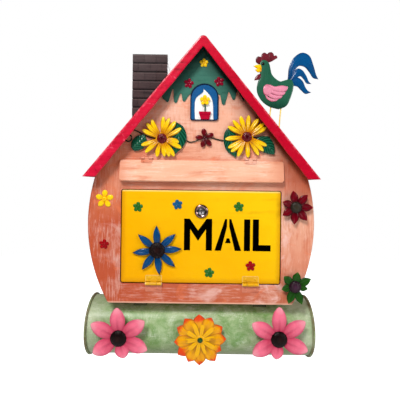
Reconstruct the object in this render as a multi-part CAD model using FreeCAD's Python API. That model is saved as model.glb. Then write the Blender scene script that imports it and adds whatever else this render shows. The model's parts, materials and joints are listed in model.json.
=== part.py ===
"""Wall-mounted cottage letterbox in painted sheet steel with a newspaper tube.

Millimetres. X to the right as seen from the front, Y from the front of the box
towards the wall, Z up. The wall side is the plane Y = 0 and the centre of the
four wall-screw holes is the origin. Every physical piece is written as one
STEP file in parts/.
"""
import FreeCAD
import Part
import math
import os

V = FreeCAD.Vector

# ---------------------------------------------------------------- dimensions
sheet = 1.0                    # housing sheet thickness
body_depth = 104.0             # wall plane to outer face of the front panel
front_y = -body_depth          # outer face of the front panel
pan_flange = 9.0               # depth of the folded edge of front and back pans
pan_edge_r = 2.0               # rounding of the folded front edge

# side walls are circular arcs, widest at belly_z
belly_half = 181.5
belly_z = 18.0
side_r = 262.0
bottom_z = -110.7
corner_r = 4.0

# folded roof sheet and its front band
apex_z = 316.0                 # where the two outer slopes would meet
roof_slope = 1.2162             # rise over run of both slopes
eave_past = 3.5                # eave tips beyond the widest part of the body
ridge_r = 7.0
roof_t = 1.0
roof_overhang = 18.0
band_apex = 20.6               # band height at the ridge
band_eave = 20.2               # band width along its horizontal lower cut

# wall screw holes
wall_spacing_x = 200.0
wall_spacing_z = 110.0
wall_hole_r = 3.25

# letter slot and the flap in front of it
slot_side = 18.5               # flap width beyond each end of the slot
slot_bottom = 92.0
slot_top = 111.0
flap_half = 130.5
flap_bottom = 85.0
flap_top = 118.9
flap_t = 1.0
flap_corner_r = 4.5
flap_tilt = 9.0                # degrees the closed flap leans off the panel
flap_pin_out = 2.5             # flap hinge pins in front of the panel face
flap_pin_up = 2.7              # and above the top edge of the flap
flap_barrel_r = 2.1
flap_hinge_w = 18.0
flap_hinge_x = (-87.6, 77.6)
flap_leaf_h = 5.2

# door
door_half = 127.5
door_bottom = -77.5
door_top = 71.0
door_gap = 1.0
door_depth = 8.0
door_t = 1.2
door_edge_r = 2.2
door_corner_r = 3.0
door_pin_out = 2.9             # door hinge pins in front of the panel face
door_pin_down = 0.5            # and below the bottom edge of the door
door_barrel_r = 2.6
door_hinge_w = 26.4
door_hinge_x = (-74.6, 80.0)
door_leaf_h = 10.0
leaf_t = 0.9
knuckle_gap = 0.4
pin_clearance = 0.06

# stencil letters cut through the door
word_side = 15.5               # end of the word to the right edge of the door
word_bottom = -25.0
word_height = 51.0
stroke = 10.0
letter_gap = 4.0
bridge = 3.4

# cam lock
lock_x = 0.4
lock_z = 38.0
lock_flange_r = 11.0
lock_flange_t = 2.6
lock_barrel_r = 8.0
lock_plug_r = 5.6
lock_length = 14.0
lock_nut_t = 4.0
cam_reach = 43.0
cam_w = 12.0
cam_t = 1.8

# window in the gable
win_x = 3.0
win_half = 22.5
win_bottom = 182.8
win_top = 241.7
win_rim = 1.6

# newspaper tube
tube_r = 47.6
tube_gap = 4.7                 # filled by the saddles between body and tube
tube_wall_gap = 4.4            # tube to wall plane
tube_t = 1.0
tube_half = 186.7
rim_r = 1.9                    # radius of the rolled rim bead
saddle_x = 100.0
saddle_w = 22.0
saddle_span = 52.0
bolt_r = 2.5

# chimney
chim_left = -119.7
chim_right = -60.2
chim_front = -70.0
chim_depth = 42.0
chim_top = 301.0
chim_t = 1.6
brick_h = 15.0
brick_w = 20.0
groove = 0.5

# rooster on the right roof slope
bird_y = -60.0                 # middle plane of the body plate
bird_t = 2.0
leg_r = 1.15

# rods, petals and other trim
wire_r = 1.0
trim_t = 1.2
standoff = 5.0                 # flowers that stand off the panel
tube_standoff = 11.4           # flowers in front of the tube

# places that follow from the sizes above
eave_half = belly_half + eave_past
eave_z = apex_z - roof_slope * eave_half
slot_half = flap_half - slot_side
flap_axis = (front_y - flap_pin_out, flap_top + flap_pin_up)
door_axis = (front_y - door_pin_out, door_bottom - door_pin_down)
tube_y = -(tube_r + tube_wall_gap)
tube_z = bottom_z - tube_gap - tube_r
wire_y = front_y - wire_r - 0.02
standoff_y = front_y - standoff
tube_flower_y = tube_y - tube_r - tube_standoff
tube_trim = tube_r / 47.6      # the flowers keep their proportion to the tube
burgundy_z = min(46.5, eave_z - 44.5)


# ------------------------------------------------------------------- helpers
def plate(edges, y_front, thick):
    """Extrude a closed wire or list of edges lying in XZ from y_front back."""
    wire = edges if isinstance(edges, Part.Wire) else Part.Wire(edges)
    flat = wire.copy()
    flat.translate(V(0, y_front, 0))
    return Part.Face(flat).extrude(V(0, thick, 0))


def polygon(points):
    pts = [V(x, 0, z) for x, z in points]
    return Part.makePolygon(pts + [pts[0]])


def smooth(points):
    """Closed smooth curve through XZ points."""
    curve = Part.BSplineCurve()
    curve.interpolate([V(x, 0, z) for x, z in points], PeriodicFlag=True)
    return Part.Wire([curve.toShape()])


def box(x0, x1, y0, y1, z0, z1):
    return Part.makeBox(x1 - x0, y1 - y0, z1 - z0, V(x0, y0, z0))


def disc(x, z, r, y_front, thick):
    """Cylinder along Y starting at y_front and running back."""
    return Part.makeCylinder(r, thick, V(x, y_front, z), V(0, 1, 0))


def dome(x, z, r, y_base, height):
    """Spherical cap on the plane y_base bulging to the front."""
    ball_r = (r * r + height * height) / (2.0 * height)
    ball = Part.makeSphere(ball_r, V(x, y_base - height + ball_r, z))
    return ball.common(disc(x, z, r + 1, y_base - height - 1, height + 1))


def join(shapes):
    """One solid from touching or overlapping shapes."""
    out = shapes[0]
    for shape in shapes[1:]:
        out = out.fuse(shape)
    return out.removeSplitter()


def group(shapes):
    return Part.makeCompound(shapes)


def mirror_x(shape):
    return shape.mirror(V(0, 0, 0), V(1, 0, 0))


def rounded_rect(x0, x1, z0, z1, r):
    s = r * (1 - math.sqrt(0.5))
    corners = [
        (V(x1 - r, 0, z0), V(x1 - s, 0, z0 + s), V(x1, 0, z0 + r)),
        (V(x1, 0, z1 - r), V(x1 - s, 0, z1 - s), V(x1 - r, 0, z1)),
        (V(x0 + r, 0, z1), V(x0 + s, 0, z1 - s), V(x0, 0, z1 - r)),
        (V(x0, 0, z0 + r), V(x0 + s, 0, z0 + s), V(x0 + r, 0, z0)),
    ]
    edges = []
    for i, (a, m, b) in enumerate(corners):
        edges.append(Part.Arc(a, m, b).toShape())
        edges.append(Part.LineSegment(b, corners[(i + 1) % 4][0]).toShape())
    return Part.Wire(edges)


def along(angle, radius, cx=0.0, cz=0.0):
    """XZ point at a clockwise angle from straight up."""
    a = math.radians(angle)
    return cx + radius * math.sin(a), cz + radius * math.cos(a)


def petal(cx, cz, angle, tip, width, root, y_front, thick, point=0.62):
    """Leaf-shaped plate from root radius to tip radius."""
    half = width / 2.0
    span = tip - root
    rows = [(root, 0.42), (root + 0.45 * span, 0.96), (root + 0.75 * span, 0.92)]
    rows.append((root + 0.94 * span, point * 0.8))
    right = []
    left = []
    for radius, part in rows:
        px, pz = along(angle, radius, cx, cz)
        sx, sz = along(angle + 90, half * part)
        right.append((px + sx, pz + sz))
        left.append((px - sx, pz - sz))
    ring = right + [along(angle, tip, cx, cz)] + left[::-1]
    return plate(smooth(ring), y_front, thick)


def flower(cx, cz, petals, root, hub_r, y_back, thick, point=0.62):
    """Flat flower: petals as (angle, tip radius, width) fused to a hub disc."""
    parts = [disc(cx, cz, hub_r, y_back - thick, thick)]
    for angle, tip, width in petals:
        blade = petal(cx, cz, angle, tip, width, root, y_back - thick, thick, point)
        parts.append(blade)
    return join(parts)


def even_petals(count, start, tip, width):
    return [(start + i * 360.0 / count, tip, width) for i in range(count)]


# ------------------------------------------------- body and roof centre lines
slope = roof_slope
slope_a = math.atan(slope)


def roof_z(x, drop=0.0):
    """Height of the roof surface lowered by a perpendicular distance."""
    return apex_z - drop / math.cos(slope_a) - slope * abs(x)


def ridge_points(drop):
    """Tangent and top points of the rounded ridge at a depth below it."""
    r = max(ridge_r - drop, 0.6)
    zc = apex_z - drop / math.cos(slope_a) - r / math.cos(slope_a)
    tx = r * math.sin(slope_a)
    return tx, zc + r * math.cos(slope_a), zc + r


def roof_edges(drop, x_end, z_end):
    tx, tz, top = ridge_points(drop)
    right = Part.LineSegment(V(x_end, 0, z_end), V(tx, 0, tz)).toShape()
    crown = Part.Arc(V(tx, 0, tz), V(0, 0, top), V(-tx, 0, tz)).toShape()
    left = Part.LineSegment(V(-tx, 0, tz), V(-x_end, 0, z_end)).toShape()
    return [right, crown, left]


def side_x(z, inset=0.0):
    """Half width of the body at a height."""
    r = side_r - inset
    return belly_half - side_r + math.sqrt(r * r - (z - belly_z) ** 2)


def shoulder(inset):
    """Point where the side arc meets the underside of the roof."""
    z = 110.0
    for _ in range(60):
        z = roof_z(side_x(z, inset), roof_t + inset)
    return side_x(z, inset), z


def body_outline(inset=0.0):
    x_top, z_top = shoulder(inset)
    z_low = bottom_z + inset
    x_low = side_x(z_low, inset)
    z_mid = (z_low + z_top) / 2.0
    x_mid = side_x(z_mid, inset)
    floor = Part.LineSegment(V(-x_low, 0, z_low), V(x_low, 0, z_low)).toShape()
    right = Part.Arc(V(x_low, 0, z_low), V(x_mid, 0, z_mid), V(x_top, 0, z_top))
    left = Part.Arc(V(-x_top, 0, z_top), V(-x_mid, 0, z_mid), V(-x_low, 0, z_low))
    roof = roof_edges(roof_t + inset, x_top, z_top)
    return Part.Wire([floor, right.toShape()] + roof + [left.toShape()])


def pan(y_face, y_open):
    """Sheet pan with the body outline, closed at y_face, open at y_open."""
    lo, hi = min(y_face, y_open), max(y_face, y_open)
    blank = plate(body_outline(0), lo, hi - lo)
    upright = []
    for e in blank.Edges:
        a, b = e.Vertexes[0].Point, e.Vertexes[-1].Point
        low = abs(a.z - bottom_z) < 0.01 and abs(b.z - bottom_z) < 0.01
        if low and abs(a.x - b.x) < 0.01:
            upright.append(e)
    blank = blank.makeFillet(corner_r, upright)
    rim = [e for e in blank.Edges if all(abs(v.Y - y_face) < 0.01 for v in e.Vertexes)]
    blank = blank.makeFillet(pan_edge_r, rim)
    if y_open > y_face:
        cavity = plate(body_outline(sheet), y_face + sheet, hi - lo)
    else:
        cavity = plate(body_outline(sheet), y_open - 1, hi - lo - sheet + 1)
    return blank.cut(cavity)


# ------------------------------------------------------------------ hinges
def hinge_knuckles(axis, barrel_r, pin_r, width, x_mid, moving):
    """Barrel pieces of one butt hinge: two outer or one middle knuckle."""
    y, z = axis
    side = width * 0.3
    spans = [(-width / 2, -width / 2 + side), (width / 2 - side, width / 2)]
    if moving:
        inner = width / 2 - side - knuckle_gap
        spans = [(-inner, inner)]
    out = []
    for a, b in spans:
        tube = Part.makeCylinder(barrel_r, b - a, V(x_mid + a, y, z), V(1, 0, 0))
        bore = Part.makeCylinder(pin_r, b - a + 2, V(x_mid + a - 1, y, z), V(1, 0, 0))
        out.append((a, b, tube, bore))
    return out


def hinge_leaf(axis, barrel_r, pin_r, width, x_mid, face_y, height, up, moving):
    """One leaf: a plate on the face at face_y plus its knuckles."""
    y, z = axis
    x0, x1 = x_mid - width / 2, x_mid + width / 2
    near = z + (barrel_r + 0.5) * up
    far = near + height * up
    leaf = box(x0, x1, face_y - leaf_t, face_y, min(near, far), max(near, far))
    corners = [e for e in leaf.Edges if abs(e.Vertexes[0].Z - far) < 0.01
               and abs(e.Vertexes[1].Z - far) < 0.01
               and abs(e.Vertexes[0].X - e.Vertexes[1].X) < 0.01]
    leaf = leaf.makeFillet(1.6, corners)
    parts = [leaf]
    bores = []
    for a, b, tube, bore in hinge_knuckles(axis, barrel_r, pin_r, width, x_mid, moving):
        parts.append(tube)
        web = box(x_mid + a, x_mid + b, face_y - leaf_t, face_y,
                  min(z, near + 0.2 * up), max(z, near + 0.2 * up))
        parts.append(web)
        bores.append(bore)
    solid = join(parts)
    for bore in bores:
        solid = solid.cut(bore)
    screws = []
    head_z = z + (barrel_r + 0.7 + height * 0.5) * up
    for sx in (-0.27, 0.27):
        screws.append(dome(x_mid + sx * width, head_z, min(2.6, height * 0.24),
                           face_y - leaf_t, 0.8))
    return join([solid] + screws)


def hinge_pin(axis, pin_r, width, x_mid):
    y, z = axis
    rod = Part.makeCylinder(pin_r, width + 1.2, V(x_mid - width / 2 - 0.6, y, z), V(1, 0, 0))
    return rod


# -------------------------------------------------------------- root housing
nodes = {}


def build_housing():
    front = pan(front_y, front_y + pan_flange)
    slot = plate(rounded_rect(-slot_half, slot_half, slot_bottom, slot_top, 3), front_y - 1, 4)
    g = door_gap
    doorway = plate(rounded_rect(-door_half - g, door_half + g, door_bottom - g,
                                 door_top + g, door_corner_r + g), front_y - 1, 4)
    nodes["front_panel"] = front.cut(slot).cut(doorway)

    back = pan(0.0, -pan_flange)
    for sx in (-0.5, 0.5):
        for sz in (-0.5, 0.5):
            hole = disc(sx * wall_spacing_x, sz * wall_spacing_z, wall_hole_r, -5, 8)
            back = back.cut(hole)
    nodes["back_panel"] = back

    y0, y1 = front_y + sheet, -sheet
    core = plate(body_outline(sheet), y0, y1 - y0)
    x_top, z_top = shoulder(sheet)
    floor_top = bottom_z + 2 * sheet
    nodes["floor_plate"] = core.common(box(-300, 300, y0, y1, bottom_z, floor_top))
    arc_x = belly_half - side_r
    outer = disc(arc_x, belly_z, side_r + 20, y0, y1 - y0)
    inner = disc(arc_x, belly_z, side_r - 2 * sheet, y0 - 1, y1 - y0 + 2)
    ring = outer.cut(inner).common(box(60, 300, y0, y1, floor_top, z_top + 0.8))
    right = core.common(ring)
    nodes["side_wall_right"] = right
    nodes["side_wall_left"] = mirror_x(right)


def build_roof():
    y0 = front_y - roof_overhang
    x_in = (apex_z - roof_t / math.cos(slope_a) - eave_z) / slope
    outer = roof_edges(0, eave_half, eave_z)
    inner = roof_edges(roof_t, x_in, eave_z)
    left_cut = Part.LineSegment(V(-eave_half, 0, eave_z), V(-x_in, 0, eave_z)).toShape()
    right_cut = Part.LineSegment(V(x_in, 0, eave_z), V(eave_half, 0, eave_z)).toShape()
    wire = Part.Wire(Part.__sortEdges__(outer + inner + [left_cut, right_cut]))
    nodes["roof_sheet"] = plate(wire, y0 + roof_t, -y0 - roof_t)

    foot = eave_half - band_eave
    under = [
        Part.LineSegment(V(-eave_half, 0, eave_z), V(-foot, 0, eave_z)).toShape(),
        Part.LineSegment(V(-foot, 0, eave_z), V(0, 0, apex_z - band_apex)).toShape(),
        Part.LineSegment(V(0, 0, apex_z - band_apex), V(foot, 0, eave_z)).toShape(),
        Part.LineSegment(V(foot, 0, eave_z), V(eave_half, 0, eave_z)).toShape(),
    ]
    wire = Part.Wire(Part.__sortEdges__(outer + under))
    nodes["roof_band"] = plate(wire, y0, roof_t)


def build_chimney():
    y0, y1 = chim_front, chim_front + chim_depth
    block = box(chim_left, chim_right, y0, y1, 100, chim_top)
    block = block.cut(box(chim_left + chim_t, chim_right - chim_t, y0 + chim_t,
                          y1 - chim_t, 90, chim_top - chim_t))
    cuts = []
    rows = int((chim_top - 165) / brick_h)
    for i in range(1, rows + 1):
        z = chim_top - i * brick_h
        cuts.append(box(chim_left - 1, chim_right + 1, y0 - 1, y0 + groove, z - 0.7, z + 0.7))
        cuts.append(box(chim_right - groove, chim_right + 1, y0 - 1, y1 + 1, z - 0.7, z + 0.7))
        cuts.append(box(chim_left - 1, chim_left + groove, y0 - 1, y1 + 1, z - 0.7, z + 0.7))
    for i in range(rows + 1):
        z = chim_top - i * brick_h
        x = chim_left + brick_w * (0.5 if i % 2 else 1.0)
        while x < chim_right - 2:
            cuts.append(box(x - 0.6, x + 0.6, y0 - 1, y0 + groove, z - brick_h, z))
            x += brick_w
    for tool in cuts:
        block = block.cut(tool)
    x0, x1 = chim_left - 5, chim_right + 5
    wedge = polygon([(x0, 80), (x1, 80), (x1, roof_z(x1)), (x0, roof_z(x0))])
    nodes["chimney"] = block.cut(plate(wedge, y0 - 5, chim_depth + 10))


def build_tube():
    length = 2 * tube_half
    outer = Part.makeCylinder(tube_r, length, V(-tube_half, tube_y, tube_z), V(1, 0, 0))
    parts = [outer]
    for x in (-tube_half + rim_r, tube_half - rim_r):
        bead = Part.makeTorus(tube_r + 1.2, rim_r, V(x, tube_y, tube_z), V(1, 0, 0))
        parts.append(bead)
    solid = join(parts)
    bore = Part.makeCylinder(tube_r - tube_t, length + 2, V(-tube_half - 1, tube_y, tube_z),
                             V(1, 0, 0))
    solid = solid.cut(bore)
    saddles = []
    bolts = []
    nuts = []
    tube_full = Part.makeCylinder(tube_r, length, V(-tube_half, tube_y, tube_z), V(1, 0, 0))
    drill_r = bolt_r + 0.15
    floor = nodes["floor_plate"]
    for x in (-saddle_x, saddle_x):
        block = box(x - saddle_w / 2, x + saddle_w / 2, tube_y - saddle_span / 2,
                    tube_y + saddle_span / 2, tube_z + 0.63 * tube_r, bottom_z + sheet)
        drill = Part.makeCylinder(drill_r, 60, V(x, tube_y, tube_z + 20), V(0, 0, 1))
        saddles.append(block.cut(tube_full).cut(drill))
        solid = solid.cut(drill)
        floor = floor.cut(drill)
        seat = tube_z + tube_r - tube_t - 0.3
        top = bottom_z + 2 * sheet
        head = Part.makeCylinder(4.6, 2.4, V(x, tube_y, seat - 2.4), V(0, 0, 1))
        shank = Part.makeCylinder(bolt_r, top + 6 - seat, V(x, tube_y, seat), V(0, 0, 1))
        bolts.append(join([head, shank]))
        hexagon = [V(x + 4.6 * math.cos(math.radians(60 * k)),
                     tube_y + 4.6 * math.sin(math.radians(60 * k)), top) for k in range(7)]
        nut = Part.Face(Part.makePolygon(hexagon)).extrude(V(0, 0, 3.6))
        bore = Part.makeCylinder(bolt_r + 0.02, 6, V(x, tube_y, top - 1), V(0, 0, 1))
        nuts.append(nut.cut(bore))
    nodes["floor_plate"] = floor
    nodes["newspaper_tube"] = solid
    nodes["tube_saddles"] = group(saddles)
    nodes["tube_bolts"] = group(bolts + nuts)


# -------------------------------------------------------------------- window
def window_outline(inset):
    x0, x1 = win_x - win_half + inset, win_x + win_half - inset
    r = win_half - inset
    zc = win_top - win_half
    z0 = win_bottom + inset
    rc = max(4.0 - inset, 0.8)
    s = rc * (1 - math.sqrt(0.5))
    edges = [
        Part.LineSegment(V(x0 + rc, 0, z0), V(x1 - rc, 0, z0)).toShape(),
        Part.Arc(V(x1 - rc, 0, z0), V(x1 - s, 0, z0 + s), V(x1, 0, z0 + rc)).toShape(),
        Part.LineSegment(V(x1, 0, z0 + rc), V(x1, 0, zc)).toShape(),
        Part.Arc(V(x1, 0, zc), V(win_x, 0, zc + r), V(x0, 0, zc)).toShape(),
        Part.LineSegment(V(x0, 0, zc), V(x0, 0, z0 + rc)).toShape(),
        Part.Arc(V(x0, 0, z0 + rc), V(x0 + s, 0, z0 + s), V(x0 + rc, 0, z0)).toShape(),
    ]
    return Part.Wire(edges)


def build_window():
    y = front_y
    # green sheet cut with hanging drips, under the window
    xa = 12.0
    right_drips = [(66.0, 213.6), (55.7, 232.0), (49.6, 216.7), (41.8, 229.6),
                   (33.6, 208.2), (27.8, 224.9)]
    left_drips = [(-21.4, 224.2), (-29.5, 213.0), (-34.9, 226.3), (-43.1, 210.5),
                  (-47.7, 232.9), (-56.4, 211.5), (-64.0, 217.5)]
    drips = drip_edge(right_drips) + drip_edge(left_drips)
    drop = roof_t + 0.6
    tx, tz, top = ridge_points(drop)
    x_r, z_r = right_drips[0]
    x_l, z_l = left_drips[-1]
    pts = [(x_l, z_l), (x_l - 1.5, z_l + 6), (-tx, tz), (0, top), (tx, tz), (x_r + 1.5, z_r + 6)]
    ring = [(x_r, z_r)] + drips[1:-1]
    cover = plate(polygon(ring + pts), y - trim_t, trim_t)
    shelf = plate(polygon([(xa - 300, 0), (xa + 300, 0), (xa + 300, roof_z(xa + 300, drop)),
                           (0, roof_z(0, drop)), (xa - 300, roof_z(xa - 300, drop))]),
                  y - 10, 20)
    cover = cover.common(shelf)
    nodes["gable_overlay"] = cover.cut(plate(window_outline(-0.3), y - 5, 10))

    depth = 2.4
    rim = plate(window_outline(0), y - depth, depth)
    nodes["window_frame"] = rim.cut(plate(window_outline(win_rim), y - depth - 1, depth + 2))
    nodes["window_pane"] = plate(window_outline(win_rim + 0.1), y - 0.6, 0.6)
    curtain = plate(window_outline(win_rim + 0.1), y - 1.6, 0.9)
    sides = [[(-11.9, 183.0), (-12.6, 200.2), (-12.4, 210.2), (-11.4, 216.8), (-7.8, 221.9),
              (-0.6, 227.2), (1.1, 233.8)],
             [(1.1, 233.8), (3.9, 231.6), (8.3, 227.4), (13.3, 220.8), (16.1, 212.2),
              (17.1, 200.4), (18.1, 183.0)]]
    edges = []
    for side in sides:
        curve = Part.BSplineCurve()
        curve.interpolate([V(px, 0, pz) for px, pz in side])
        edges.append(curve.toShape())
    (x0, z0), (x1, z1) = sides[1][-1], sides[0][0]
    edges += [Part.LineSegment(V(x0, 0, z0), V(x0, 0, win_bottom - 4)).toShape(),
              Part.LineSegment(V(x0, 0, win_bottom - 4), V(x1, 0, win_bottom - 4)).toShape(),
              Part.LineSegment(V(x1, 0, win_bottom - 4), V(x1, 0, z1)).toShape()]
    nodes["window_curtain"] = curtain.cut(plate(edges, y - 4, 6))
    pot = polygon([(-5.0, 194.6), (13.0, 194.6), (10.8, 184.6), (-2.6, 184.6)])
    lip = polygon([(-5.8, 196.8), (13.6, 196.8), (13.0, 192.6), (-5.2, 192.6)])
    nodes["window_pot"] = join([plate(pot, y - 3.4, 1.8), plate(lip, y - 4.0, 2.4)])
    nodes["window_stem"] = box(3.1, 5.1, y - 3.2, y - 1.6 + 1.0, 197.0, 213.0)
    bloom = flower(3.7, 215.0, even_petals(5, 0, 8.4, 6.2), 1.5, 2.2, y - 3.4, 1.4, 0.9)
    nodes["window_bloom"] = join([bloom, disc(3.7, 215.0, 1.8, y - 3.4, 2.8)])


def drip_edge(points):
    """Soften a zigzag of tips and gaps with a rounded end at each one."""
    out = []
    for i, (x, z) in enumerate(points):
        if i in (0, len(points) - 1):
            out.append((x, z))
            continue
        tip = points[i - 1][1] > z
        half = 2.6 if tip else 1.4
        step = 1.0 if tip else -1.0
        for k in (-1.0, -0.7, -0.35, 0.0, 0.35, 0.7, 1.0):
            lift = 2.6 * (1 - math.cos(k * 1.4)) * step
            out.append((x - k * half, z + lift))
    return out


# ---------------------------------------------------- vine, leaves and flowers
daisy_l = (-63.6, 152.9)
daisy_r = (71.0, 157.1)
blossom = (4.6, 155.0)
daisy_hub_r = 7.0
daisy_tip = 34.5
flap_swing_room = 2.8
blossom_hub_r = 3.0


def wire_piece(points, y, r):
    curve = Part.BSplineCurve()
    curve.interpolate([V(x, y, z) for x, z in points])
    path = Part.Wire([curve.toShape()])
    start = curve.value(curve.FirstParameter)
    way = curve.tangent(curve.FirstParameter)[0]
    ring = Part.Wire([Part.makeCircle(r, start, way)])
    return path.makePipeShell([ring], True, True)


def vine_points(segment):
    if segment == "left":
        return [(-117.5, 158.6), (-113.0, 156.6), (-113.0, 151.0), (-118.5, 147.8),
                (-123.0, 152.5), (-122.8, 160.3), (-118.0, 166.4), (-110.5, 167.0),
                (-101.0, 163.2), (-87.6, 156.4), (-71.3, 153.1)]
    if segment == "middle_left":
        return [(-55.9, 152.1), (-42.0, 152.2), (-25.9, 150.6), (-19.5, 148.2),
                (-11.6, 149.4), (-3.7, 153.2), (1.0, 154.6)]
    if segment == "middle_right":
        return [(8.2, 155.4), (17.0, 155.2), (25.0, 152.9), (34.6, 151.4),
                (48.0, 153.0), (63.3, 155.9)]
    return [(78.7, 157.1), (88.8, 157.2), (99.0, 158.2), (107.9, 158.2)]


daisy_angles_l = [4, 17, 40, 65, 97, 115, 143, 156, 171, 199, 231, 249, 290, 310, 326]
daisy_angles_r = [5, 28, 53, 67, 115, 128, 144, 176, 206, 222, 235, 264, 299, 318, 340]


def petal_reach(angle, cz):
    """Tip radius of a daisy petal, kept above the flap that swings up below it."""
    down = -math.cos(math.radians(angle))
    if down < 0.5:
        return daisy_tip
    return min(daisy_tip, (cz - flap_axis[1] - flap_swing_room) / down)


def build_vine():
    names = ("left", "middle_left", "middle_right", "right")
    wires = [wire_piece(vine_points(n), wire_y, wire_r) for n in names]
    nodes["vine_wire"] = group(wires)
    leaves = [
        [(-113.4, 141.0), (-110.0, 150.4), (-100.5, 158.8), (-90.0, 158.6), (-85.6, 152.4),
         (-90.5, 142.0), (-98.0, 134.4), (-107.5, 133.4)],
        [(-41.7, 180.0), (-33.0, 175.0), (-26.0, 166.6), (-24.6, 157.0), (-28.5, 144.3),
         (-35.0, 133.0), (-43.4, 127.6), (-49.0, 140.0), (-50.0, 160.0)],
        [(41.0, 172.6), (36.0, 164.5), (34.6, 152.0), (36.3, 141.5), (43.0, 130.5),
         (53.0, 123.6), (58.0, 134.0), (56.0, 154.0), (50.0, 167.0)],
        [(84.0, 152.0), (93.0, 157.4), (107.0, 156.4), (115.4, 145.0), (115.6, 130.4),
         (105.0, 131.6), (95.0, 136.6), (87.0, 144.0)],
    ]
    y_leaf = front_y - 2 * wire_r - 0.1
    feet = [(-98.0, 144.0), (-37.0, 142.0), (46.0, 142.0), (101.0, 144.0)]
    shapes = []
    for ring, (fx, fz) in zip(leaves, feet):
        blade = plate(smooth(ring), y_leaf - trim_t, trim_t)
        foot = disc(fx, fz, 3.0, y_leaf, front_y - y_leaf)
        shapes.append(join([blade, foot]))
    nodes["vine_leaves"] = group(shapes)
    thick = 1.4
    y_back = y_leaf - trim_t - 1.0
    domes = []
    for name, (cx, cz), angles in (("daisy_left", daisy_l, daisy_angles_l),
                                   ("daisy_right", daisy_r, daisy_angles_r)):
        petals = [(a, petal_reach(a, cz), 7.0) for a in angles]
        head = flower(cx, cz, petals, 5.0, 10.0, y_back, thick, 0.8)
        stud = disc(cx, cz, daisy_hub_r, y_back, front_y - y_back)
        nodes[name] = join([head, stud])
        domes.append(dome(cx, cz, 8.2, y_back - thick, 3.6))
    nodes["daisy_centres"] = group(domes)
    tips = [(-10, 15.0), (64, 15.0), (142, 15.6), (197, 15.4), (274, 15.0)]
    cx, cz = blossom
    y_b = front_y - 2 * wire_r - 0.1
    head = flower(cx, cz, [(a, t, 8.0) for a, t in tips], 1.0, 3.4, y_b, 1.2, 0.75)
    nodes["vine_blossom"] = join([head, disc(cx, cz, blossom_hub_r, y_b, front_y - y_b)])


def beside_door(cx, petals):
    """Petals (angle, tip, width) with those that point at the door cut short of its edge."""
    rows = []
    for angle, tip, width in petals:
        towards = -math.sin(math.radians(angle))
        if towards > 0.5:
            tip = min(tip, (cx - door_half - 1.2) / towards)
        rows.append((angle, tip, width))
    return rows


def small_flower(cx, cz, tip, count=5, start=0.0, width=0.72):
    """Five-lobed flower lying flat on the panel, with its own button."""
    petals = even_petals(count, start, tip, tip * width)
    head = flower(cx, cz, petals, tip * 0.16, tip * 0.3, front_y, trim_t, 0.92)
    return join([head, dome(cx, cz, tip * 0.27, front_y - trim_t, tip * 0.12)])


def build_panel_flowers():
    gable = [small_flower(1.4, 274.9, 7.2), small_flower(-22.4, 241.9, 8.0, start=10),
             small_flower(26.1, 245.2, 8.0, start=-12)]
    nodes["gable_flowers"] = lift(group(gable), -trim_t)
    nodes["side_flowers"] = group([
        small_flower(24.1 - side_x(55.7), 55.7, 14.5, start=2, width=0.62),
        small_flower(24.6 - side_x(-16.7), -16.7, 8.0, start=6)])

    cx, cz = side_x(burgundy_z) - 29.8, burgundy_z
    petals = beside_door(cx, [(a, 27.0, 15.0) for a in (349, 41, 90, 140, 186, 239, 292)])
    head = flower(cx, cz, petals, 6.0, 9.0, standoff_y, trim_t, 0.7)
    nodes["burgundy_flower"] = join([head, disc(cx, cz, 5.0, standoff_y, front_y - standoff_y)])
    nodes["burgundy_centre"] = dome(cx, cz, 9.3, standoff_y - trim_t, 4.6)

    cx, cz = side_x(-79.2) - 12.7, -79.2
    reach = [(313, 24.0, 15.0), (9, 24.0, 15.0), (62, 27.5, 16.0), (98, 19.5, 11.0),
             (158, 29.0, 15.0), (202, 28.0, 16.0), (259, 25.5, 15.0)]
    head = flower(cx, cz, beside_door(cx, reach), 6.0, 9.0, standoff_y, trim_t, 0.5)
    nodes["green_flower"] = join([head, disc(cx, cz, 5.0, standoff_y, front_y - standoff_y)])
    nodes["green_flower_centre"] = dome(cx, cz, 10.0, standoff_y - trim_t, 5.0)


def lift(shape, dy):
    out = shape.copy()
    out.translate(V(0, dy, 0))
    return out


def build_tube_flowers():
    tube = Part.makeCylinder(tube_r, 400, V(-200, tube_y, tube_z), V(1, 0, 0))
    y_skin = tube_y - tube_r
    petals_l = [(356, 48.0), (56, 49.0), (112, 49.0), (163, 32.5), (238, 47.0), (297, 49.0)]
    petals_r = [(0, 51.0), (55, 50.0), (112, 49.0), (188, 31.5), (239, 48.0), (300, 49.0)]
    domes = []
    for name, cx, cz, petals in (("pink_flower_left", -127.8, tube_z - 0.2, petals_l),
                                 ("pink_flower_right", 125.4, tube_z + 1.2, petals_r)):
        rows = [(a, t * tube_trim, 22.5 * tube_trim) for a, t in petals]
        head = flower(cx, cz, rows, 8.0, 12.0, tube_flower_y, 1.4, 0.9)
        stud = disc(cx, cz, 6.0, tube_flower_y, y_skin + 3 - tube_flower_y).cut(tube)
        nodes[name] = join([head, stud])
        domes.append(dome(cx, cz, 13.2, tube_flower_y - 1.4, 6.0))
    nodes["pink_centres"] = group(domes)
    cx, cz = 1.0, tube_z - 2.3
    outer_rows = even_petals(12, 8, 40.0 * tube_trim, 15.0 * tube_trim)
    outer = flower(cx, cz, outer_rows, 9.0, 13.0, tube_flower_y + 4, 1.2, 0.35)
    stud = disc(cx, cz, 5.0, tube_flower_y + 4, y_skin + 3 - tube_flower_y - 4).cut(tube)
    nodes["orange_flower_outer"] = join([outer, stud])
    y_in = tube_flower_y + 4 - 1.2 - 1.6
    inner = flower(cx, cz, even_petals(10, 22, 27.0, 12.0), 7.0, 10.0, y_in, 1.2, 0.35)
    nodes["orange_flower_inner"] = join([inner, disc(cx, cz, 4.0, y_in, 1.6)])
    nodes["orange_rivet"] = dome(cx, cz, 4.4, y_in - 1.2, 2.0)


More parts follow.
